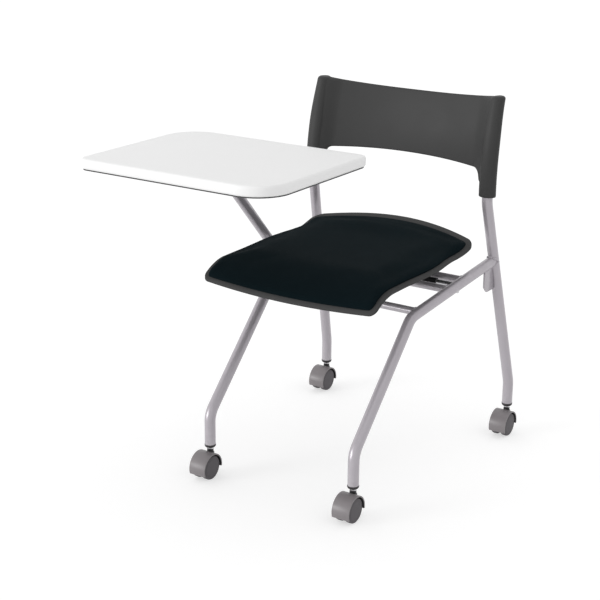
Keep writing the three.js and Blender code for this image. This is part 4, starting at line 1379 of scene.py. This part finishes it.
@dataclass
class BackShell:
    """The hollowed back panel, run together with its sleeves over the uprights."""

    frame: TubularFrame
    sleeve_bottom: float = 546
    top: float = 745
    top_gap: float = 0.4
    top_dip: float = 11
    top_power: float = 2.4
    bottom: float = 606
    bottom_arch: float = 9
    fillet_drop: float = 26
    fillet_shares: tuple[float, float] = (0.82, 0.915)
    flare_shares: tuple[float, float] = (0.79, 0.985)
    flare: float = 10.9
    hollow: float = 30
    hollow_power: float = 2.2
    thickness: float = 6
    edge_round: float = 2.9
    rows: int = 30
    columns: int = 140
    edge_steps: int = 10
    sleeve_half: float = 18
    sleeve_top_half: float = 15.2
    sleeve_depth: float = 14.5
    sleeve_round: float = 5.5
    sleeve_mouth: tuple = ((0.0, 1.6), (0.5, 0.6), (1.6, 0.0))
    sleeve_caps: tuple[float, ...] = (8.0, 10.5, 12.5, 13.8)
    sleeve_levels: int = 40
    round_steps: int = 6
    sleeve_sides: int = 72
    taper_start: float = 0.5
    dip_end: float = 0.9

    def line(self, z: float) -> Vector:
        """The left upright's axis at a height."""
        return self.frame.upright_at((z - self.frame.knee.z) / (self.frame.top.z - self.frame.knee.z))

    def dip(self, across: float) -> float:
        """How far the upper edge lies below the top, by share of the way from the middle to a sleeve."""
        return self.top_dip * (1 - across ** self.top_power)

    def panel_point(self, u: float, v: float, face: float, tuck: float) -> Vector:
        """A point of the panel's skin.

        Args:
            u: The place across, from -1 to 1.
            v: The place up between the rounded edges, from 0 to 1.
            face: The place in its thickness, from -1 at the front to 1 at the rear.
            tuck: The place in a rounded edge, from -1 at the lower one's rim to 1 at the upper one's.

        Returns:
            The point in metres.
        """
        across = abs(u)
        round_off = share_of(across, *self.fillet_shares)
        drop = self.fillet_drop * (1 - math.sqrt(1 - round_off * round_off))
        flare = soft_step(across, *self.flare_shares)
        edge = self.edge_round + (self.sleeve_round - self.edge_round) * flare
        low = self.bottom - self.bottom_arch * u * u - drop + edge
        high = self.top - self.top_gap - self.dip(across) - edge
        z = low + (high - low) * v + tuck * edge
        place = self.line(z)
        hollow = self.hollow * (1 - across ** self.hollow_power)
        depth = self.thickness / 2 + self.flare * flare
        return Bench.at(u * (place.x + self.line(self.top).x) / 2, place.y + hollow + face * depth, z)

    def panel(self) -> Piece:
        """Builds the panel as rings round its section, from one side to the other.

        Returns:
            The panel.
        """
        rows, columns = self.rows, self.columns
        turns = [math.pi * k / self.edge_steps for k in range(1, self.edge_steps)]
        section = [(k / rows, -1.0, 0.0) for k in range(rows + 1)]
        section += [(1.0, -math.cos(turn), math.sin(turn)) for turn in turns]
        section += [(1 - k / rows, 1.0, 0.0) for k in range(rows + 1)]
        section += [(0.0, math.cos(turn), -math.sin(turn)) for turn in turns]
        return Bench.ringed("back_rest", len(section), columns + 1,
                            lambda index, row: self.panel_point(2 * row / columns - 1, *section[index]))

    def sleeve(self, side: Side) -> Piece:
        """Builds a sleeve: rings up the upright, narrowed, rounded over and closed at its top.

        Args:
            side: The sleeve's side.

        Returns:
            The sleeve.
        """
        height, over, count = self.top - self.sleeve_bottom, self.sleeve_round, self.sleeve_levels
        levels = [*self.sleeve_mouth, *(((height - over) * k / count, 0.0) for k in range(1, count))]
        for k in range(self.round_steps + 1):
            angle = math.pi / 2 * k / self.round_steps
            levels.append((height - over * (1 - math.sin(angle)), over * (1 - math.cos(angle))))
        levels += [(height, inset) for inset in self.sleeve_caps]

        def place(index: int, row: int) -> Vector:
            """A point of the sleeve's skin.

            Args:
                index: The point's number round the ring.
                row: The ring's number.

            Returns:
                The point in metres.
            """
            rise, inset = levels[row]
            centre = self.line(self.sleeve_bottom + rise)
            taper = soft_step(rise / height, self.taper_start, 1)
            width = self.sleeve_half + (self.sleeve_top_half - self.sleeve_half) * taper - inset
            angle = math.tau * index / self.sleeve_sides
            x = side.value * centre.x + width * math.cos(angle)
            across = min(abs(x) / self.line(self.top).x, 1.0)
            drop = self.dip(across) * soft_step(rise / height, self.taper_start, self.dip_end)
            return Bench.at(x, centre.y + (self.sleeve_depth - inset) * math.sin(angle), centre.z - drop)

        return Bench.ringed(f"back_sleeve_form_{side.word}", self.sleeve_sides, len(levels), place)

    def build(self) -> None:
        """Joins the panel, flared at its ends, and its sleeves into one moulded skin."""
        back = self.panel()
        Bench.cut(back, self.sleeve(Side.LEFT), self.sleeve(Side.RIGHT), how="UNION")
        dress(back, SHELL, "frame", "back_shell", angle=50)


# Writing tablet


@dataclass
class WritingTablet:
    """The board, its dark backing, and the blocks that hold it on the arm."""

    width: float = 419
    depth: float = 328
    middle_x: float = -81
    middle_y: float = -602.5
    underside: float = 660
    top: float = 682
    backing: float = 2
    backing_gap: float = 0.1
    backing_inset: float = 3.3
    tip_corner: float = 20
    round_corner: float = 70
    corner_steps: int = 24
    edge_round: float = 5
    edge_steps: int = 6
    screws: int = 4

    def slab(self, name: str, low: float, high: float, inset: float) -> Piece:
        """Builds a slab with the board's outline.

        Args:
            name: The slab's name.
            low: Its underside's height in millimetres.
            high: Its top's height in millimetres.
            inset: How far its outline is drawn in, in millimetres.

        Returns:
            The slab.
        """
        half_w, half_d = self.width / 2 - inset, self.depth / 2 - inset
        slab = Bench.block(name, Bench.at(self.middle_x - half_w, self.middle_y - half_d, low),
                           Bench.at(self.middle_x + half_w, self.middle_y + half_d, high))
        middle = Bench.at(self.middle_x, self.middle_y, 0)
        for same, corner in ((True, self.tip_corner), (False, self.round_corner)):

            def upright(a: Vector, b: Vector, same: bool = same) -> bool:
                """True for an unrounded corner's upright edge, on one diagonal of the board.

                Args:
                    a: One end of an edge, in metres.
                    b: Its other end, in metres.
                    same: True for the diagonal on which x and y have one sign.

                Returns:
                    True for an edge to round.
                """
                x, y = a.x - middle.x, a.y - middle.y
                standing = abs(a.x - b.x) + abs(a.y - b.y) < CLOSE and abs(a.z - b.z) > MM
                outer = abs(abs(x) - half_w * MM) < CLOSE and abs(abs(y) - half_d * MM) < CLOSE
                return standing and outer and (x * y > 0) == same

            Bench.round_edges(slab, corner - inset, self.corner_steps, upright)
        return slab

    def build_board(self) -> None:
        """Builds the board, with a soft round along both rims."""
        board = self.slab("tablet_board", self.underside + self.backing, self.top, 0)
        Bench.round_edges(board, self.edge_round, self.edge_steps, lambda a, b: abs(a.z - b.z) < CLOSE)
        dress(board, WHITE, "tablet", "tablet_top", angle=40)

    def build_backing(self) -> None:
        """Builds the dark sheet under the board."""
        top = self.underside + self.backing - self.backing_gap
        sheet = self.slab("tablet_underlay", self.underside, top, self.backing_inset)
        Bench.ease(sheet, 0.3, 1, 60)
        dress(sheet, BACKING, "tablet", "tablet_backing", angle=40)

    def build(self) -> None:
        """Builds the whole tablet, with the blocks that turn on the arm and their screws."""
        self.build_board()
        self.build_backing()
        for word in ("rear", "front"):
            dress_copy(f"tablet_pivot_block_{word}", f"tablet_clamp_{word}", BLACK, "tablet",
                       (1.0, 3, 35), 35)
        for number in range(1, self.screws + 1):
            dress_screw(f"tablet_screw_{number}", f"board_screw_{number}", "tablet", 4.75, 3)


@dataclass
class TabletArm:
    """The slanted arm, its foot plate and bolts, and the stop that the tablet rests on."""

    frame: TubularFrame
    radius: float = 10.85
    wall: float = 1.8
    x: float = -217
    foot_y: float = -213.5
    tail: float = 14
    lean: float = 0.938
    bend: float = 45
    spindle_z: float = 640
    spindle_end: float = -642
    plate_length: float = 110
    plate_height: float = 34
    plate_thickness: float = 6
    plate_tail: float = 16
    plate_corner: float = 8
    bolt_offsets: tuple[float, float] = (-32, -78)
    bolt_radius: float = 7.25
    bolt_height: float = 5.5
    bolt_chamfer: float = 0.93
    shank_radius: float = 4
    shank_past_nut: float = 2
    gap: float = 0.3
    lug_y: float = -568
    lug_top: float = 653.4
    lug_thickness: float = 5
    lug_reach: float = 52
    lug_width: float = 40
    lug_corner: float = 9
    corner_steps: int = 8
    cap_dome: tuple = ((0, 3.3), (0.45, 3.1), (0.75, 2.6), (0.93, 1.7), (1, 0.6), (1, 0.3))
    cap_fit: float = 2.1
    cap_depth: float = 14
    bumper_head: tuple = ((0, 0), (5.6, 0), (7.1, 0.5), (8.2, 1.8), (9, 4.8), (9, 6), (3, 6))

    def along(self) -> tuple[Vector, Vector, Vector]:
        """The foot on the right side arm's axis, that arm's way, and the way out of it.

        Returns:
            The foot in millimetres and the two ways.
        """
        foot = self.frame.on_arm(self.foot_y)
        way = (self.frame.arm_rear - self.frame.arm_front).normalized()
        out = Vector((way.y, -way.x, 0)).normalized()
        return Vector((-foot.x, foot.y, foot.z)), Vector((-way.x, way.y, way.z)), Vector((-out.x, out.y, 0))

    def build_tube(self) -> None:
        """Builds the bent tube."""
        foot, _, _ = self.along()
        foot.x = self.x
        lean = Vector((0, -self.lean, 1)).normalized()
        elbow = foot + lean * ((self.spindle_z - foot.z) / lean.z)
        end = Vector((self.x, self.spindle_end, self.spindle_z))
        path = Bench.placed([foot - lean * self.tail, elbow, end])
        tube = Bench.pipe("tablet_arm_tube", path, self.radius, self.wall, [self.bend], steps=14)
        dress(tube, SILVER, "frame", "tablet_support_arm")

    def build_plate(self) -> None:
        """Builds the foot plate, with round corners, against the side arm."""
        foot, way, out = self.along()
        foot += way * (self.plate_tail - self.plate_length / 2)
        foot += out * (self.frame.tube_radius + self.gap + self.plate_thickness / 2)
        half = Vector((self.plate_length, self.plate_height, self.plate_thickness)) * MM / 2
        plate = Bench.block("tablet_arm_plate", -half, half)
        Bench.round_edges(plate, self.plate_corner, self.corner_steps, lambda a, b: abs(a.z - b.z) > MM)
        Bench.ease(plate, 0.8, 2, 50)
        turn = Matrix((way, out.cross(way), out)).transposed().to_4x4()
        plate.data.transform(Matrix.Translation(Bench.at(*foot)) @ turn)
        dress(plate, SILVER, "frame")

    def build_lug(self) -> None:
        """Builds the flat lug that carries the rest bumper."""
        low = Bench.at(self.x, self.lug_y - self.lug_width / 2, self.lug_top - self.lug_thickness)
        high = Bench.at(self.x + self.lug_reach, self.lug_y + self.lug_width / 2, self.lug_top)
        lug = Bench.block("tablet_stop_lug", low, high)
        Bench.round_edges(lug, self.lug_corner, self.corner_steps,
                          lambda a, b: abs(a.z - b.z) > MM and a.x > low.x + MM)
        Bench.ease(lug, 0.7, 2, 50)
        dress(lug, SILVER, "frame")

    def build_bolts(self) -> None:
        """Builds the two chamfered hexagon bolts with their nuts."""
        foot, way, out = self.along()
        head = self.frame.tube_radius + self.plate_thickness + 2 * self.gap
        nut = -self.frame.tube_radius - self.gap
        for word, offset in zip(("rear", "front"), self.bolt_offsets):
            place = foot + way * offset

            def bar(name: str, start: float, end: float, radius: float, sides: int) -> Piece:
                """A bar between two distances from the side arm's axis."""
                return Bench.drum(name, Bench.at(*(place + out * start)), Bench.at(*(place + out * end)),
                                  radius, sides)

            def hexagon(start: float, end: float) -> Piece:
                """A chamfered hexagon between two distances from the side arm's axis.

                Args:
                    start: The first distance in millimetres.
                    end: The second distance in millimetres.

                Returns:
                    The hexagon.
                """
                piece = bar(f"hex_{word}", start, end, self.bolt_radius, 6)
                collar = bar("collar", start, end, self.bolt_radius * self.bolt_chamfer, 48)
                Bench.ease(collar, 1.0, 2, 60)
                Bench.cut(piece, collar, how="INTERSECT")
                return piece

            bolt = hexagon(head, head + self.bolt_height)
            end = hexagon(nut - self.bolt_height, nut)
            tip = nut - self.bolt_height - self.shank_past_nut
            shank = bar("shank", tip, head + 1, self.shank_radius, 32)
            Bench.cut(bolt, end, shank, how="UNION")
            bolt.name = f"arm_bolt_{word}"
            Bench.ease(bolt, 0.35, 1, 40)
            dress(bolt, STEEL, "frame", f"tablet_arm_bolt_{word}")

    def build_cap(self) -> None:
        """Builds the domed cap in the tube's front end."""
        r, bore = self.radius, self.radius - self.cap_fit
        profile = [(r * share, height) for share, height in self.cap_dome]
        profile += [(bore, profile[-1][1]), (bore, -self.cap_depth), (0, -self.cap_depth)]
        cap = Bench.turned("arm_cap", profile, Bench.at(self.x, self.spindle_end, self.spindle_z),
                           Vector((0, -1, 0)))
        dress(cap, BLACK, "frame", "tablet_arm_end_cap")

    def build_bumper(self) -> None:
        """Builds the round bumper that the tablet rests on."""
        low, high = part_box("tablet_rest_bumper")
        middle, top = (low + high) / 2, (high.z - low.z) / MM
        profile = [(radius, top - down) for radius, down in self.bumper_head]
        profile += [(profile[-1][0], 0), (0, 0)]
        bumper = Bench.turned("rest_bumper", profile, Vector((middle.x, middle.y, low.z)), steps=32)
        dress(bumper, RUBBER, "frame", "tablet_rest_bumper")

    def build(self) -> None:
        """Builds the whole arm."""
        self.build_tube()
        self.build_plate()
        self.build_lug()
        self.build_bolts()
        self.build_cap()
        self.build_bumper()


# Casters


@dataclass
class Caster:
    """A twin-wheel caster: modelled once at the front left and copied to the other corners.

    Each wheel rim is pairs of how far it lies inside the tread and how far from that face.
    """

    wheel_radius: float = 25
    wheel_width: float = 14.5
    inner_rim: tuple = ((3.4, 0), (2.4, 0.4), (0.9, 1.4), (0.15, 2.6), (0, 4.2))
    outer_rim: tuple = ((0, 5.2), (0.3, 3.6), (1.1, 2.4), (2.2, 1.7), (3.4, 1.5), (4.6, 1.4), (4.9, 1.75),
                        (5.5, 1.75), (5.8, 1.4))
    disc: tuple = ((6.0, 1.15), (0, 1.1))
    fin_half: float = 3.5
    side_gap: float = 0.8
    trail: float = 16
    clearance: float = 2.3
    wall: float = 2.7
    front_bottom: float = 14.5
    rear_bottom: float = 20.5
    neck_radius: float = 6.6
    neck_top: float = 57.7
    neck_core: tuple[float, float] = (0.6, 4)
    room_past: float = 6
    hood_round: float = 0.6
    axle_radius: float = 3
    axle_inset: float = 1.5
    sleeve_bore: float = 4.5
    sleeve_skirt: tuple = ((1.6, 46), (1.4, 50.6), (0.2, 52.2), (0, 53.5))
    sleeve_edge: float = 0.5
    stem_low: float = 38
    stem_radius: float = 4
    stem_high: float = 88
    stem_high_radius: float = 5.5
    collar_radius: float = 6.1
    collar_height: float = 3.3
    collar_swell: float = 0.3
    tube_radius: float = 11.1
    leg_end: float = 66.5
    lip: tuple[float, float] = (0.45, 2.2)
    lip_depth: float = 1.5
    ferrule_low: float = 61.6
    ferrule_foot: tuple = ((5.8, 0), (7.5, 0), (9.6, 1.0), (10.8, 2.3))
    ferrule_core: tuple[float, float] = (9.2, 28)
    home: Corner = Corner.FRONT_LEFT

    @property
    def half(self) -> float:
        """Half the caster's width."""
        return self.fin_half + self.side_gap + self.wheel_width

    def at(self, x: float, y: float, z: float) -> Vector:
        """A place from the stem's axis on the floor."""
        return Bench.at(self.home.value[0] + x, self.home.value[1] + y, z)

    def hub(self, x: float) -> Vector:
        """A place on the wheels' axis."""
        return self.at(x, -self.trail, self.wheel_radius)

    def rim(self, z: float, way: int) -> Vector:
        """Where the hood's skin ends at a height, ahead of the wheels' axis (-1) or behind it (1)."""
        cover = self.wheel_radius + self.clearance + self.wall
        return Vector((0, way * math.sqrt(cover ** 2 - (self.wheel_radius - z) ** 2) - self.trail, z))

    def hood(self) -> Piece:
        """Builds the hood over both wheels, its inside painted black as the shade in the gap round the
        wheels.

        Returns:
            The hood.
        """
        room, r = self.wheel_radius + self.clearance, self.wheel_radius
        hood = Bench.drum("hood", self.hub(-self.half), self.hub(self.half), room + self.wall)
        front, rear = self.rim(self.front_bottom, -1), self.rim(self.rear_bottom, 1)
        chord = rear - front
        with Bench.editing(hood):
            bpy.ops.mesh.bisect(plane_co=self.at(*front), use_fill=True, clear_inner=True,
                                plane_no=Vector((0, -chord.z, chord.y)).normalized())
        thinner, lower = self.neck_core
        neck = Bench.drum("neck", self.at(0, 0, r), self.at(0, 0, self.neck_top - lower),
                          self.neck_radius - thinner, 48)
        Bench.cut(hood, neck, how="UNION")
        for way in (-1, 1):
            Bench.cut(hood, Bench.drum("room", self.hub(way * self.fin_half),
                                       self.hub(way * (self.half + self.room_past)), room))
        Bench.ease(hood, self.hood_round, 3, 35)
        hood.data.materials.append(HOOD.material())
        # Painted shade: the cavity faces that face the wheels take black nylon to stand for the shadow in the
        # gap round the wheels.
        hood.data.materials.append(BLACK.material())
        middle, near, inwards = self.hub(0), (room + 0.4) * MM, -0.2
        for face in hood.data.polygons:
            spoke = face.center - middle
            spoke.x = 0
            if spoke.length < near and face.normal.dot(spoke) < inwards * spoke.length:
                face.material_index = 1
        return hood

    def wheel(self) -> Piece:
        """Builds a wheel, its outer disc closed, with a shallow ring by the tread.

        Returns:
            The wheel.
        """
        r, w = self.wheel_radius, self.wheel_width
        profile = [(0, 0), *((r - inside, deep) for inside, deep in self.inner_rim),
                   *((r - inside, w - deep) for inside, deep in self.outer_rim),
                   *((radius, w - deep) for radius, deep in self.disc)]
        return Bench.turned("wheel", profile, self.hub(self.fin_half + self.side_gap), Vector((1, 0, 0)), 72)

    def ferrule(self) -> Piece:
        """Builds the dark end fitting between the leg and the stem.

        Returns:
            The ferrule.
        """
        low, top, r = self.ferrule_low, self.leg_end + self.lip[1], self.tube_radius + self.lip[0]
        core, height = self.ferrule_core
        foot = [(radius, low + rise) for radius, rise in self.ferrule_foot]
        shoulder = [(r - 0.15, low + 3.8), (r, low + 4.8), (r, top - 0.5), (r - 0.15, top), (r - 0.4, top),
                    (r - 0.4, top - self.lip_depth)]
        inside = [(core, top - self.lip_depth), (core, low + height), (foot[0][0], low + height), foot[0]]
        return Bench.turned("ferrule", foot + shoulder + inside, self.at(0, 0, 0))

    def stem(self) -> Piece:
        """Builds the bright stem with its collar.

        Returns:
            The stem.
        """
        low, high, r = self.neck_top + 0.3, self.neck_top + 0.3 + self.collar_height, self.collar_radius
        profile = [(0, self.stem_low), (self.stem_radius, self.stem_low), (self.stem_radius, low), (r, low),
                   (r + self.collar_swell, low + 0.8), (r, high - 0.5), (self.stem_high_radius, high),
                   (self.stem_high_radius, self.stem_high), (0, self.stem_high)]
        return Bench.turned("stem", profile, self.at(0, 0, 0), steps=32)

    def neck_sleeve(self) -> Piece:
        """Builds the black sleeve round the neck, flared where it stands on the hood.

        Returns:
            The sleeve.
        """
        n, top, edge, bore = self.neck_radius, self.neck_top, self.sleeve_edge, self.sleeve_bore
        skirt = [(n + wider, z) for wider, z in self.sleeve_skirt]
        low = (bore, skirt[0][1])
        profile = [low, *skirt, (n, top - edge), (n - edge, top), (bore, top), low]
        return Bench.turned("sleeve", profile, self.at(0, 0, 0), steps=32)

    def axle(self) -> Piece:
        """Builds the axle, within the wheels' closed discs."""
        reach = self.half - self.axle_inset
        return Bench.pipe("axle", [self.hub(-reach), self.hub(reach)], self.axle_radius, 0, sides=24)

    def build(self) -> None:
        """Builds one caster and copies it to each corner."""
        hood, wheel, ferrule = self.hood(), self.wheel(), self.ferrule()
        stem, sleeve, axle = self.stem(), self.neck_sleeve(), self.axle()
        centre = self.at(0, 0, 0)
        flip = Matrix.Translation(centre) @ Matrix.Diagonal((-1, 1, 1, 1)) @ Matrix.Translation(-centre)
        for corner in Corner:
            shift = Matrix.Translation(Bench.at(*corner.value, 0) - centre)
            body, word = f"caster_{corner.word}", corner.word
            outer, inner = (shift, shift @ flip) if corner.value[0] > 0 else (shift @ flip, shift)
            made = [(hood, "hood", shift, HOOD, body, "caster_hood"),
                    (sleeve, "neck_sleeve", shift, BLACK, body, None),
                    (axle, "axle", shift, STEEL, body, "caster_axle"),
                    (stem, "stem", shift, STEEL, "frame", "caster_stem"),
                    (ferrule, "ferrule", shift, FITTING, "frame", "leg_ferrule"),
                    (wheel, "wheel_outer_disc", outer, WHEEL, f"wheel_outer_{word}", "caster_wheel_outer"),
                    (wheel, "wheel_inner_disc", inner, WHEEL, f"wheel_inner_{word}", "caster_wheel_inner")]
            for model, name, place, finish, rides, node in made:
                twin = Bench.twin(model, f"{name}_{word}", place)
                dress(twin, finish, rides, *([f"{node}_{word}"] if node else []), angle=40)
        for model in (hood, wheel, ferrule, stem, sleeve, axle):
            bpy.data.objects.remove(model, do_unlink=True)


# Studio


@dataclass
class Studio:
    """The pale floor, the soft light and the camera."""

    lens: float = 84.82
    sensor: float = 36
    azimuth: float = 33.163
    elevation: float = 18.391
    roll: float = 0.538
    camera_place: Vector = point_field(1411.57, -2631.45, 1245.01)
    sky: float = 0.79
    key: float = 0.46
    key_way: Vector = point_field(-0.6, -0.78, 0.13)
    key_softness: float = 26
    floor_half: float = 40.0
    floor_white: float = 0.86
    floor_matt: float = 0.6
    floor_glow: float = 0.545

    def build_floor(self) -> None:
        """Builds the floor: white to the camera and in reflections where nothing shades it."""
        floor = Bench.start("studio_floor", bpy.ops.mesh.primitive_plane_add, size=2 * self.floor_half)
        material, write, out = blank_material("studio_white")
        white, matt = (write.add("ShaderNodeBsdfDiffuse", Color=(tone, tone, tone, 1.0)).outputs[0]
                       for tone in (self.floor_white, self.floor_matt))
        glow = write.add("ShaderNodeEmission", Strength=self.floor_glow)
        seen = write.add("ShaderNodeAddShader", i0=matt, i1=glow.outputs[0])
        path = write.add("ShaderNodeLightPath")
        ray = write.math("MAXIMUM", path.outputs["Is Camera Ray"], path.outputs["Is Glossy Ray"])
        both = write.add("ShaderNodeMixShader", i0=ray, i1=white, i2=seen.outputs[0])
        write.feed(out, "Surface", both.outputs[0])
        floor.data.materials.append(material)

    def build_light(self) -> None:
        """Builds the even sky and one broad soft key light."""
        world = bpy.data.worlds.new("studio_sky")
        bpy.context.scene.world = world
        world.use_nodes = True
        write = NodeTree(world.node_tree)
        out = write.add("ShaderNodeOutputWorld")
        path = write.add("ShaderNodeLightPath")
        seen = write.math("MAXIMUM", path.outputs["Is Camera Ray"], path.outputs["Is Transmission Ray"])
        seen = write.math("MAXIMUM", seen, path.outputs["Is Glossy Ray"])
        strength = write.ramp(seen, 0, 1, self.sky, 1.0)
        sky = write.add("ShaderNodeBackground", Color=(1.0, 1.0, 1.0, 1.0), Strength=strength)
        write.feed(out, "Surface", sky.outputs[0])
        lamp = bpy.data.lights.new("soft_key", "SUN")
        lamp.energy = self.key * math.pi
        lamp.angle = math.radians(self.key_softness)
        key = bpy.data.objects.new("soft_key", lamp)
        bpy.context.scene.collection.objects.link(key)
        key.rotation_euler = Bench.facing(self.key_way)

    def build_camera(self) -> None:
        """Builds the camera at the photograph's viewing angle."""
        data = bpy.data.cameras.new("view")
        data.lens = self.lens
        data.sensor_width = self.sensor
        camera = bpy.data.objects.new("view", data)
        bpy.context.scene.collection.objects.link(camera)
        a, e, r = (math.radians(v) for v in (self.azimuth, self.elevation, self.roll))
        back = Vector((math.sin(a) * math.cos(e), -math.cos(a) * math.cos(e), math.sin(e)))
        right = (-back).cross(Vector((0, 0, 1))).normalized()
        up = right.cross(-back)
        across = right * math.cos(r) + up * math.sin(r)
        above = up * math.cos(r) - right * math.sin(r)
        turn = Matrix((across, above, back)).transposed().to_4x4()
        camera.matrix_world = Matrix.Translation(Bench.at(*self.camera_place)) @ turn
        bpy.context.scene.camera = camera

    def build(self) -> None:
        """Builds the studio."""
        self.build_floor()
        self.build_light()
        self.build_camera()
        bpy.context.scene.view_settings.view_transform = "Standard"


def main() -> None:
    """Builds the chair, its studio and its camera, in order."""
    logging.basicConfig(level=logging.INFO, format="%(name)s: %(message)s")
    tubes = TubularFrame()
    shell = SeatShell()
    for maker in (Studio(), tubes, SeatHinge(tubes), shell, SeatPad(shell), BackShell(tubes),
                  WritingTablet(), TabletArm(tubes), Caster()):
        maker.build()
    Bench.hold()


if __name__ == "__main__":
    main()
